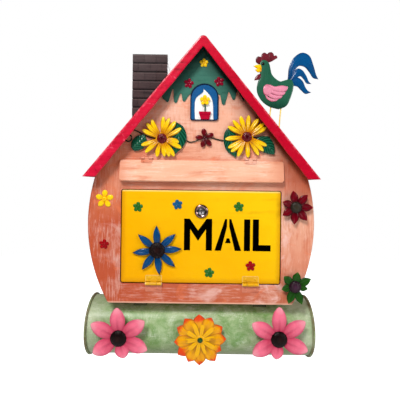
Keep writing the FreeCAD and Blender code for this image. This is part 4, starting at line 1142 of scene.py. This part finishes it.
def daisy(name, centre, petal_angles, stands_for):
    """Narrow petals at three heights, each arched by 0.9 * k * sin(pi t), on a disc and a peg."""
    cx, cz = centre
    low, high = span(stands_for)
    y_back = low[1] + 1.4
    rng = np.random.default_rng(len(name))
    parts = []
    for i, angle in enumerate(petal_angles):
        tip = petal_limit(angle, cz, 34.5) * (1 if angle != 97 else 0.8)
        le, ri = petal_edges(cx, cz, angle, 5.5, tip, 7.9, 0.48, 0.5, 0.68,
                             bend=rng.uniform(-5, 5))
        high_up = 0.25 + 0.45 * (i % 3)
        parts.append(blade(le, ri, y_back - high_up * 0.5, 0.7, 1.5, creases(0.5),
                           lambda t, k=high_up: 0.9 * k * np.sin(math.pi * t), count=26))
    parts.append(turned(cx, cz, [(0.02, 2.0), (6, 2.0), (9.4, 1.6), (10, 0.9), (10, 0),
                                 (0.02, 0)], y_back))
    stem = PANEL_Y - y_back
    parts.append(peg(cx, cz, 6.8, stem, PANEL_Y))
    return piece(name, parts, daisy_paint, "housing", [stands_for])


daisy("daisy_left_pressed", DAISY_L, left_angles, "daisy_left")
daisy("daisy_right_pressed", DAISY_R, right_angles, "daisy_right")

# %% [markdown]
# The middles are small domes covered with beads, as if punched from behind with a round tool.


# %% Daisy middles
def beads(count, rings, amount):
    """Small beads on a dome: a lattice of bumps, each ring turned by half a bead.

    Height = amount * max(0, cos(count * a + pi * ring)) * |sin(rings * pi * s)|, fading to
    nothing at the rim and at the very middle, where the beads would be too narrow.
    """
    def bump_height(a, s):
        ring = np.floor(s * rings)
        lattice = np.clip(np.cos(count * a + math.pi * ring), 0, 1)
        fade = np.clip((s - 0.08) * 6, 0, 1) * (s < 0.92)
        return amount * lattice * np.abs(np.sin(rings * math.pi * s)) * fade
    return bump_height


centre_y = span("daisy_centres")[1][1]
parts = [turned(cx, cz, dome_profile(8.0, 4.0, 20), centre_y, 84, beads(14, 6, 0.5))
         for cx, cz in (DAISY_L, DAISY_R)]
piece("daisy_middles", parts, maroon_paint, "housing", ["daisy_centres"])

# %% [markdown]
# ## Vine and leaves
# One bent wire runs behind the flowers and curls up at its left end. The leaves are broad
# pressed blades with a raised midrib and side veins.

# %% Vine wire
wire_low, wire_high = span("vine_wire")
wire_y = (wire_low[1] + wire_high[1]) / 2
runs = [
    [(-117.5, 158.6), (-113.0, 156.6), (-113.0, 151.0), (-118.5, 147.8), (-123.0, 152.5),
     (-122.8, 160.3), (-118.0, 166.4), (-110.5, 167.0), (-101.0, 163.2), (-87.6, 156.4),
     (-71.3, 153.1)],
    [(-55.9, 152.1), (-42.0, 152.2), (-25.9, 150.6), (-19.5, 148.2), (-11.6, 149.4),
     (-3.7, 153.2), (1.0, 154.6)],
    [(8.2, 155.4), (17.0, 155.2), (25.0, 152.9), (34.6, 151.4), (48.0, 153.0), (63.3, 155.9)],
    [(78.7, 157.1), (88.8, 157.2), (99.0, 158.2), (107.9, 158.2)],
]
parts = [rod([(px, wire_y, pz) for px, pz in run], 1.0) for run in runs]
piece("vine_wire_bent", parts, vine_paint, "housing", ["vine_wire"])

# %% [markdown]
# A leaf is one broad blade. Its midrib and side veins are raised by a formula in t and v, so
# the leaf paint can find the same lines.


# %% Leaves with veins
def veins(t, v):
    """Midrib 0.9 * exp(-(9 v)^2) plus side veins 0.38 * cos(2 pi * (8 t - 2.4 |v|))."""
    rib = 0.9 * np.exp(-(v * 9) ** 2)
    side = 0.38 * np.cos((t * 8 - np.abs(v) * 2.4) * 2 * math.pi) * (np.abs(v) < 0.93)
    return rib + side


leaf_back = span("vine_leaves")[0][1] + 1.2
leaves = [
    ([(-113.0, 138.0), (-112.0, 147.0), (-105.0, 156.0), (-92.0, 159.8)],
     [(-113.0, 138.0), (-106.0, 132.8), (-94.0, 137.0), (-87.0, 147.0), (-92.0, 159.8)]),
    ([(-41.7, 180.0), (-48.0, 168.0), (-51.0, 148.0), (-47.0, 134.0), (-43.4, 127.6)],
     [(-41.7, 180.0), (-30.0, 172.0), (-24.6, 157.0), (-29.0, 142.0), (-43.4, 127.6)]),
    ([(42.0, 172.6), (36.0, 164.5), (34.4, 152.0), (38.5, 137.0), (54.0, 123.8)],
     [(42.0, 172.6), (51.0, 165.0), (57.0, 152.0), (58.0, 137.0), (54.0, 123.8)]),
    ([(83.0, 150.0), (92.0, 158.0), (106.0, 157.4), (115.0, 145.0), (116.0, 130.0)],
     [(83.0, 150.0), (87.0, 140.0), (96.0, 134.0), (107.0, 130.6), (116.0, 130.0)]),
]
parts = [blade(le, ri, leaf_back, 0.8, 1.8, veins, count=44, across=31) for le, ri in leaves]
feet = [(-98.0, 144.0), (-37.0, 142.0), (46.0, 142.0), (101.0, 144.0)]
foot_high = PANEL_Y - leaf_back
parts += [peg(fx, fz, 3, foot_high, PANEL_Y, 24) for fx, fz in feet]
piece("vine_leaves_pressed", parts, leaf_paint, "housing", ["vine_leaves"])

# %% [markdown]
# The blossom between the daisies has five uneven petals on one short peg.

# %% Middle blossom
cx, cz = 4.6, 155.0
blossom_y = span("vine_blossom")[0][1] + 1.2
rows = [(-10, 15.2, 8.6), (64, 15.2, 8.0), (142, 15.8, 8.6), (197, 15.6, 8.2), (274, 15.2, 7.6)]
parts = bloom((cx, cz), rows, 1.2, (0.6, 0.2, 0.6), blossom_y, 0, (0.5, 1.7), creases(0.2, 1.0))
stem = PANEL_Y - blossom_y
parts.append(turned(cx, cz, [(0.02, stem + 1), (2.2, stem + 0.6), (3, stem), (3, 0), (0.02, 0)],
                    PANEL_Y, 24))
piece("vine_blossom_pressed", parts, maroon_paint, "housing", ["vine_blossom"])


# %% [markdown]
# ## Small five-lobed flowers
# These are stamped in one go: five round lobes swelling from a small button. The same maker
# serves the gable, the side and the door, each with its own paint.

# %% Stamped flowers
def stamped(cx, cz, tip, y_back, start=0.0, width=0.74):
    """Five round lobes and a domed button, all in proportion to the tip radius."""
    rows = [(start + 72 * k, tip, tip * width) for k in range(5)]
    parts = bloom((cx, cz), rows, tip * 0.08, (0.5, 0.28, 0.62), y_back, 0, (0.45, tip * 0.13),
                  count=18, across=13)
    button = dome_profile(tip * 0.24, tip * 0.1, 8, tip * 0.12)
    parts.append(turned(cx, cz, button, y_back, 24))
    return parts


def on_node(name):
    """Plane behind a group of stamped flowers."""
    return span(name)[1][1]


BELLY_HALF, BELLY_R, BELLY_Z = 181.5, 262.0, 18.0


def side_x(z):
    """Half width of the housing at a height: an arc of radius BELLY_R round height BELLY_Z."""
    return BELLY_HALF - BELLY_R + math.sqrt(BELLY_R**2 - (z - BELLY_Z) ** 2)


gable_y = on_node("gable_flowers")
piece("gable_flower_top", stamped(1.4, 274.9, 7.2, gable_y), yellow_paint,
      "housing", ["gable_flowers"])
piece("gable_flowers_low", stamped(-22.4, 241.9, 8.0, gable_y, 10)
      + stamped(26.1, 245.2, 8.0, gable_y, -12), crimson_paint, "housing", [])
side_y = on_node("side_flowers")
piece("side_flower_yellow", stamped(24.1 - side_x(55.7), 55.7, 14.5, side_y, 2, 0.62),
      yellow_paint, "housing", ["side_flowers"])
piece("side_flower_red", stamped(24.6 - side_x(-16.7), -16.7, 8.0, side_y, 6), red_paint,
      "housing", [])

green_small = petal_paint("green_small", (44, 112, 34), (20, 70, 22), (66, 132, 44), (20, 66, 24),
                          0.3, 0.4, 0.4)
blue_small = petal_paint("blue_small", (16, 92, 140), (4, 52, 92), (30, 108, 156), (4, 44, 84), 0.3,
                         0.4, 0.4)
door_y = on_node("door_small_flowers")
greens = stamped(-101.1, 43.6, 8.2, door_y, 4) + stamped(60.2, 45.7, 8.2, door_y, -6)
greens += stamped(14.0, -60.2, 8.2, door_y, 8)
piece("door_flowers_green", greens, green_small, "door", ["door_small_flowers"])
piece("door_flower_blue", stamped(-37.8, 48.2, 8.2, door_y, -10), blue_small, "door", [])
piece("door_flower_red", stamped(80.0, -48.8, 8.2, door_y, -4), red_paint, "door", [])

# %% [markdown]
# ## Flowers on the right side
# Two flowers stand off the panel on short studs. Their petals curl forward and have a strong
# middle crease, so the lift grows with the square of the distance from the root.


# %% A flower that stands off the panel
DOOR_EDGE = span("door_panel")[1][0]


def beside_door(cx, petals):
    """Petals (angle, tip, width) with those that point at the door cut short of its edge."""
    out = []
    for angle, tip, width in petals:
        towards = -math.sin(math.radians(angle))
        if towards > 0.5:
            tip = min(tip, (cx - DOOR_EDGE - 1.2) / towards)
        out.append((angle, tip, width))
    return out


def standing_flower(name, centre, rows, node_name, mat, root, hub_r, bulge, curl):
    """Petals with a pressed crease that curl forward as curl * t^2, a hub and a stud."""
    low, high = span(node_name)
    y_back = low[1] + 1.2
    parts = bloom(centre, beside_door(centre[0], rows), root, (0.95, 0.4, 0.5), y_back, 0.35,
                  (0.7, bulge), lambda t, v: -1.5 * np.exp(-(v * 3.2) ** 2) * np.sin(math.pi * t),
                  lambda t: curl * t**2, count=30, across=19)
    parts.append(hub(*centre, hub_r, 1.2, y_back))
    parts.append(peg(*centre, 4.9, high[1] - y_back, high[1], 24))
    return piece(name, parts, mat, "housing", [node_name])


print("door edge at", round(float(DOOR_EDGE), 1))

# %% [markdown]
# The burgundy flower has seven even petals. The green one has petals of different lengths and
# widths, and its middle is a dark plum dome.

# %% The two flowers and their middles
burgundy_paint = petal_paint("burgundy_paint", (110, 0, 18), (50, 0, 8), (130, 2, 26), (44, 0, 8),
                             0.45, 0.6, 0.4, **SATIN)
BURGUNDY = (side_x(46.5) - 29.8, 46.5)
rows = [(a, 27.0, 12.6) for a in (349, 41, 90, 140, 186, 239, 292)]
standing_flower("burgundy_flower_pressed", BURGUNDY, rows, "burgundy_flower", burgundy_paint,
                5.0, 9.0, 2.2, 1.6)
green_paint = petal_paint("green_paint", (28, 78, 14), (10, 40, 6), (52, 106, 28), (12, 44, 10),
                          0.45, 0.6, 0.45, **SATIN, middle=0.4)
GREEN = (side_x(-79.2) - 12.7, -79.2)
rows = [(313, 24.5, 13.0), (9, 24.0, 13.0), (62, 28.0, 13.4), (98, 20.0, 10.0),
        (158, 29.5, 12.4), (202, 28.5, 13.2), (259, 25.5, 12.6)]
standing_flower("green_flower_pressed", GREEN, rows, "green_flower", green_paint,
                5.0, 9.0, 2.2, 1.8)
olive_paint = petal_paint("olive_paint", (40, 33, 24), (58, 50, 38), (24, 18, 12), (14, 10, 6), 0.5,
                          0.0, 0.6, gloss=0.2, coat=0.0)
plum_paint = petal_paint("plum_paint", (38, 14, 28), (66, 34, 56), (22, 8, 16), (12, 4, 8), 0.5,
                         0.0, 0.6, gloss=0.2, coat=0.0)
mid_y = span("burgundy_centre")[1][1]
piece("burgundy_middle", [turned(*BURGUNDY, dome_profile(9.2, 4.8, 20), mid_y, 90,
                                 beads(15, 7, 0.6))],
      olive_paint, "housing", ["burgundy_centre"])
mid_y = span("green_flower_centre")[1][1]
piece("green_middle", [turned(*GREEN, dome_profile(9.8, 5.2, 20), mid_y, 90,
                              beads(15, 7, 0.6))],
      plum_paint, "housing", ["green_flower_centre"])

# %% [markdown]
# ## Blue door flower
# Eight pointed petals with a deep crease, riding on the door with its beaded dark middle.

# %% Door flower
low, high = span("door_flower")
flower_y = low[1] + 1.4
FLOWER = (-69.4, -24.8)
rows = [(angle, 39.5, 11.2) for angle in (358, 48, 86.5, 132, 174, 217, 263, 309)]
parts = bloom(FLOWER, rows, 8.0, (0.95, 0.5, 0.42), flower_y, 0.3, (0.7, 2.0),
              lambda t, v: -1.3 * np.exp(-(v * 3.5) ** 2) * np.sin(math.pi * t),
              lambda t: 1.2 * np.sin(math.pi * t), count=34, across=19)
parts += [hub(*FLOWER, 13, 1.2, flower_y), peg(*FLOWER, 9.8, high[1] - flower_y, high[1], 32)]
door_blue = petal_paint("door_blue", (0, 70, 124), (0, 44, 86), (0, 18, 44), (0, 26, 58), 0.45,
                        0.45, 0.35, tip_from=0.74, middle=0.3)
piece("door_flower_pressed", parts, door_blue, "door", ["door_flower"])
mid_y = span("door_flower_centre")[1][1]
piece("door_flower_middle", [turned(*FLOWER, dome_profile(12.8, 4.4, 34), mid_y, 132,
                                    beads(22, 11, 0.7))],
      dark_paint, "door", ["door_flower_centre"])

# %% [markdown]
# ## Flowers on the tube
# Two big pink flowers with rounded petals and black domes, and a pleated orange one in two
# layers in the middle. All stand on studs welded to the tube.

# %% Pink flowers
pink_paint = petal_paint("pink_paint", (244, 114, 142), (184, 24, 66), (248, 152, 168),
                         (168, 36, 74), 0.55, 0.55, 0.2, size=0.8, tip_from=0.62, middle=0.6)
tube_low, tube_high = span("newspaper_tube")
tube_mid = (tube_low + tube_high) / 2
TUBE_R = 47.6
LEFT_PETALS = [(356, 48.0, 24), (56, 49.0, 25), (112, 49.0, 24.5), (163, 32.5, 22.5),
               (238, 47.0, 25), (297, 49.0, 24.5)]
RIGHT_PETALS = [(0, 51.0, 23), (55, 50.0, 24), (112, 49.0, 24.5), (188, 31.5, 20),
                (239, 48.0, 25), (300, 49.0, 24.5)]


def stud(cx, cz, r, y_front):
    """Short round bar from a flower back into the curved skin of the tube."""
    drop = math.sqrt(max(TUBE_R**2 - (abs(cz - tube_mid[2]) + r) ** 2, 0))
    y_skin = tube_mid[1] - drop + 0.4
    length = y_skin - y_front
    return peg(cx, cz, r, length, y_skin, 28)


def pink_flower(name, node_name, centre, rows):
    """Rounded petals with a deep middle trough and two shallow ones near the root."""
    y_back = span(node_name)[0][1] + 1.4
    trough = lambda t, v: (-1.5 * np.exp(-(v * 6.0) ** 2 - (t * 1.9) ** 2)
                           - 0.5 * np.exp(-((np.abs(v) - 0.45) * 7) ** 2 - (t * 2.1) ** 2))
    parts = bloom(centre, rows, 8.0, (0.62, 0.5, 0.5), y_back, 0.4, (0.8, 2.4), trough,
                  lambda t: 1.6 * t * (1.4 - t), count=36, across=25)
    parts += [hub(*centre, 13, 1.4, y_back), stud(*centre, 5.9, y_back)]
    return piece(name, parts, pink_paint, "housing", [node_name])


PINK_L = (-127.8, tube_mid[2] - 0.2)
PINK_R = (125.4, tube_mid[2] + 1.2)
pink_flower("pink_flower_left_pressed", "pink_flower_left", PINK_L, LEFT_PETALS)
pink_flower("pink_flower_right_pressed", "pink_flower_right", PINK_R, RIGHT_PETALS)
mid_y = span("pink_centres")[1][1]
parts = [turned(cx, cz, dome_profile(13.0, 6.0, 34), mid_y, 132, beads(24, 12, 0.45))
         for cx, cz in (PINK_L, PINK_R)]
piece("pink_middles", parts, dark_paint, "housing", ["pink_centres"])

# %% [markdown]
# The orange flower is pleated like paper: twelve outer petals with a fold down the middle, ten
# narrow inner ones on top, and a green rivet that holds them.

# %% Orange pleated flower
ORANGE = (1.0, tube_mid[2] - 2.3)
# the dark brown root of the outer petals is painted shade showing in the gaps between the inner
# petals
orange_paint = petal_paint("orange_paint", (240, 166, 0), (74, 32, 0), (234, 68, 12), (164, 62, 0),
                           0.5, 0.7, 0.3, tip_from=0.62, middle=0.5)
orange_inner_paint = petal_paint("orange_inner_paint", (246, 182, 0), (240, 176, 0), (238, 160, 0),
                                 (132, 66, 0), 0.3, 0.95, 0.1, middle=0.3)
low, high = span("orange_flower_outer")
y_outer = low[1] + 1.2
parts = []
outer_petals = [(-3, 40.0), (27, 39.5), (60, 41.0), (88, 41.5), (117, 38.0), (144, 41.5),
                (181, 41.0), (208, 40.0), (235, 43.0), (264, 41.5), (297, 41.5), (323, 41.5)]
rows = [(angle, tip, 20.0) for angle, tip in outer_petals]
parts = bloom(ORANGE, rows, 7.0, (1.0, 0.45, 0.66), y_outer, 0.8, (0.6, 1.7),
              lambda t, v: 0.7 * np.cos(v * math.pi * 2) - 0.9 * np.exp(-(v * 8) ** 2),
              lambda t: 0.8 * t**2, count=34, across=27)
# two petals have more of the red tip colour
for k in (0, 8):
    parts[k][3]["along"] = parts[k][3]["along"] * 1.3
parts.append(turned(*ORANGE, [(0.02, 1.2), (11, 1.2), (12, 0), (0.02, 0)], y_outer))
parts.append(stud(*ORANGE, 4.9, y_outer))
piece("orange_flower_outer_pleated", parts, orange_paint, "housing", ["orange_flower_outer"])
low, high = span("orange_flower_inner")
y_inner = low[1] + 1.2
rows = [(12 + 36 * k, 29.5 if k % 2 else 26.5, 9.8) for k in range(10)]
parts = bloom(ORANGE, rows, 3.0, (0.6, 0.4, 0.72), y_inner + 1.3, 0.3, (0.4, 1.2),
              lambda t, v: -0.4 * np.exp(-(v * 5) ** 2) * t, lambda t: -0.2 * t, count=26,
              across=21)
parts.append(turned(*ORANGE, [(0.02, 1.6), (4, 1.6), (6, 1.0), (7, 0), (0.02, 0)], y_inner))
parts.append(peg(*ORANGE, 3.9, 2.0, y_inner + 2.0, 24))
piece("orange_flower_inner_pleated", parts, orange_inner_paint, "housing",
      ["orange_flower_inner"])
mid_y = span("orange_rivet")[1][1]
piece("orange_rivet_domed", [turned(*ORANGE, dome_profile(4.4, 2.2, 10), mid_y, 32)],
      rivet_paint, "housing", ["orange_rivet"])

# %% [markdown]
# ## Window bloom
# A tiny five-petal bloom on its stem stands in front of the curtain.

# %% Window bloom
bloom_low, bloom_high = span("window_bloom")
stem_front = span("window_stem")[0][1]
parts = stamped(3.7, 215.0, 8.4, min(bloom_high[1] - 1.2, stem_front), 0, 0.74)
print("bloom from", round(float(bloom_low[1]), 1), "stem front", round(float(stem_front), 1))
piece("window_bloom_pressed", parts, yellow_paint, "housing", ["window_bloom"])

# %% [markdown]
# ## Rooster
# The bird is cut from sheet in layers and pressed: tail and comb behind, body in the middle,
# wing, wattle and beak in front. Each plume and the body is a blade between two edge lines.

# %% Rooster body
BIRD_LOW, BIRD_HIGH = span("rooster_body")
y_body = BIRD_HIGH[1]
bird_paint, tree, shader = start_paint("bird_paint")
x, y, z = position(tree)
g = use_brushed(tree, ink(44, 106, 80), ink(24, 80, 60), ink(8, 48, 38), bias=0.0,
                streaks=0.6, blotch=0.5, size=2.0, upright=1.0)
# painted shade on the lower body and belly
rounded = mix(step(z, 232.0, 214.0) * 0.6, g["Colour"], ink(2, 44, 36))
finish_paint(shader, rounded, g, strength=0.3, coat=0.2)
front_edge = [(103.0, 297.6), (98.6, 292.5), (97.6, 285.0), (98.4, 277.0), (98.0, 268.0),
              (94.6, 257.0), (93.4, 246.0), (96.4, 235.5), (104.0, 225.0), (116.0, 216.8),
              (131.5, 212.6)]
back_edge = [(103.0, 297.6), (109.5, 296.6), (114.6, 291.0), (116.8, 282.0), (119.0, 273.5),
             (124.6, 266.6), (133.0, 261.2), (141.5, 261.2), (149.0, 264.8), (156.0, 260.6),
             (156.4, 248.0), (151.0, 230.0), (144.5, 218.2), (131.5, 212.6)]
body_blade = blade(front_edge, back_edge, y_body, 1.0, 2.4, count=64, across=31, power=0.55)
piece("rooster_body_pressed", [body_blade], bird_paint, "housing", ["rooster_body"])

# %% [markdown]
# Three plumes overlap, each a little in front of the one above it, with a raised shaft.

# %% Rooster tail
tail_y = span("rooster_tail")[1][1]
plumes = [
    ([(146.0, 258.0), (147.5, 270.0), (149.2, 286.0), (157.0, 302.5), (171.0, 311.8),
      (184.5, 306.5), (191.5, 290.0), (196.0, 275.0), (200.3, 266.0)],
     [(158.0, 262.0), (157.5, 270.0), (159.5, 280.0), (166.0, 288.5), (176.0, 287.0),
      (184.0, 278.5), (191.0, 268.5), (200.3, 266.0)]),
    ([(150.0, 260.0), (156.0, 274.0), (163.0, 283.8), (172.0, 281.5), (179.0, 272.0),
      (183.5, 262.0), (188.3, 257.6)],
     [(150.0, 260.0), (160.5, 266.0), (168.5, 270.8), (175.0, 265.0), (180.0, 258.4),
      (188.3, 257.6)]),
    ([(148.0, 257.0), (157.0, 265.5), (165.0, 268.2), (173.0, 262.0), (177.6, 252.0),
      (182.0, 245.8), (187.8, 242.8)],
     [(148.0, 257.0), (156.0, 254.0), (163.5, 252.5), (170.0, 246.5), (178.0, 240.2),
      (187.8, 242.8)]),
]
shaft = lambda t, v: 0.5 * np.exp(-(v * 7) ** 2) - 0.2 * np.cos(v * 12)
parts = [blade(le, ri, tail_y - 0.5 * k, 0.7, 1.5, shaft, count=50, across=23)
         for k, (le, ri) in enumerate(plumes)]
tail_paint = petal_paint("tail_paint", (4, 78, 134), (0, 50, 96), (12, 70, 120), (0, 40, 84), 0.3,
                         0.5, 0.4, size=0.9)
piece("rooster_tail_pressed", parts, tail_paint, "housing", ["rooster_tail"])

# %% [markdown]
# The comb is one lobed blade with pressed dents, the wattle a small drop, and the beak two
# blades that meet at its point.

# %% Comb, wattle and beak
comb_paint = petal_paint("comb_paint", (112, 32, 44), (84, 16, 28), (126, 42, 54), (62, 10, 22),
                         0.3, 0.5, 0.5)
crest_low = [(91.6, 294.4), (97.0, 290.6), (104.0, 291.6), (112.0, 293.4), (119.0, 296.0),
             (126.0, 300.4)]
crest_top = [(91.6, 294.4), (91.4, 300.4), (95.2, 304.4), (100.0, 303.8), (101.6, 308.4),
             (106.4, 311.2), (111.0, 308.8), (113.4, 311.2), (118.6, 312.0), (122.2, 308.6),
             (122.8, 305.8), (126.8, 306.4), (129.0, 302.6), (126.0, 300.4)]
lobes = lambda t, v: -0.5 * np.exp(-((np.abs(np.sin(t * math.pi * 3.4)) * 3.2) ** 2)) * (v > -0.2)
parts = [blade(crest_low, crest_top, tail_y, 0.8, 1.6, lobes, count=60, across=19, power=0.5)]
drop_l = [(100.0, 273.5), (94.5, 271.5), (90.0, 266.0), (88.6, 261.6)]
drop_r = [(100.0, 273.5), (100.0, 268.0), (96.0, 263.0), (88.6, 261.6)]
parts.append(blade(drop_l, drop_r, BIRD_LOW[1], 0.4, 1.2, count=20, across=13))
piece("rooster_comb_pressed", parts, comb_paint, "housing", ["rooster_comb"])

beak_y = BIRD_LOW[1] + 0.2
upper = blade([(101.5, 281.5), (99.5, 288.0), (94.0, 288.8), (87.0, 286.6)],
              [(101.5, 281.4), (97.5, 281.0), (93.0, 282.2), (87.0, 286.6)], beak_y, 0.5, 1.4,
              count=22, across=15)
lower = blade([(101.0, 282.6), (96.5, 282.6), (89.6, 280.2)],
              [(101.0, 277.8), (95.0, 275.6), (89.6, 280.2)], beak_y, 0.4, 1.2, count=20,
              across=13)
piece("rooster_beak_pressed", [upper, lower], yellow_paint, "housing", ["rooster_beak"])

# %% [markdown]
# The wing is four feathers laid over one another and a rounded shoulder over their roots.

# %% Wing and eye
wing_y = BIRD_LOW[1] - 0.6
feathers = [
    ([(107.0, 238.0), (114.0, 232.4), (122.0, 229.6), (130.6, 229.4)],
     [(107.0, 238.0), (110.5, 230.0), (118.0, 225.6), (126.0, 226.0), (130.6, 229.4)], 0.0),
    ([(107.0, 243.0), (119.0, 238.6), (129.0, 235.8), (138.0, 235.6)],
     [(107.0, 243.0), (115.0, 233.0), (126.0, 229.4), (134.4, 231.0), (138.0, 235.6)], 0.4),
    ([(107.0, 248.0), (121.0, 244.6), (132.0, 242.4), (142.6, 241.6)],
     [(107.0, 248.0), (119.0, 239.0), (131.0, 235.4), (139.6, 237.0), (142.6, 241.6)], 0.8),
    ([(106.0, 250.0), (114.0, 254.6), (124.0, 251.4), (136.0, 253.2), (147.0, 251.2)],
     [(106.0, 250.0), (119.0, 244.8), (133.0, 241.6), (143.6, 243.4), (147.0, 251.2)], 1.2),
]
shoulder = ([(104.0, 245.0), (105.0, 251.0), (110.4, 254.8), (118.0, 252.0), (121.0, 245.0)],
            [(104.0, 245.0), (105.4, 238.6), (111.0, 234.6), (117.6, 237.6), (121.0, 245.0)])
wing = [blade(le, ri, wing_y - k * 0.35, 0.5, 1.2, count=34, across=17)
        for le, ri, k in feathers]
wing.append(blade(*shoulder, wing_y - 0.3, 0.6, 1.5, count=30, across=21))
wing_paint = petal_paint("wing_paint", (232, 148, 172), (216, 122, 150), (226, 140, 166),
                         (164, 76, 104), 0.3, 0.8, 0.3)
piece("rooster_wing_pressed", wing, wing_paint, "housing", ["rooster_wing"])
piece("rooster_eye_bead", [turned(103.8, 290.4, dome_profile(2.5, 1.2, 8), BIRD_LOW[1] - 0.4, 24)],
      dark_paint, "housing", ["rooster_eye"])

# %% [markdown]
# The legs are two bent wires that end on the roof.

# %% Legs
leg_low, leg_high = span("rooster_legs")
leg_y = (leg_low[1] + leg_high[1]) / 2
leg_rows = [[(119.0, 222.0), (117.5, 206.0), (115.7, 175.6)],
            [(137.5, 226.0), (135.0, 204.0), (131.6, 156.2)]]
parts = [rod([(px, leg_y, pz) for px, pz in row], 1.15, 16, 40) for row in leg_rows]
piece("rooster_legs_bent", parts, leg_paint, "housing", ["rooster_legs"])

# %% [markdown]
# ## Last measurement
# The box of the finished look is printed, to set beside the CAD box printed at the start.
# The finished look must stay inside the CAD box.

# %% Sizes and finish
low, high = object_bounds()
print("visual box in mm:", [round(v / MM, 1) for v in (*low, *high)])
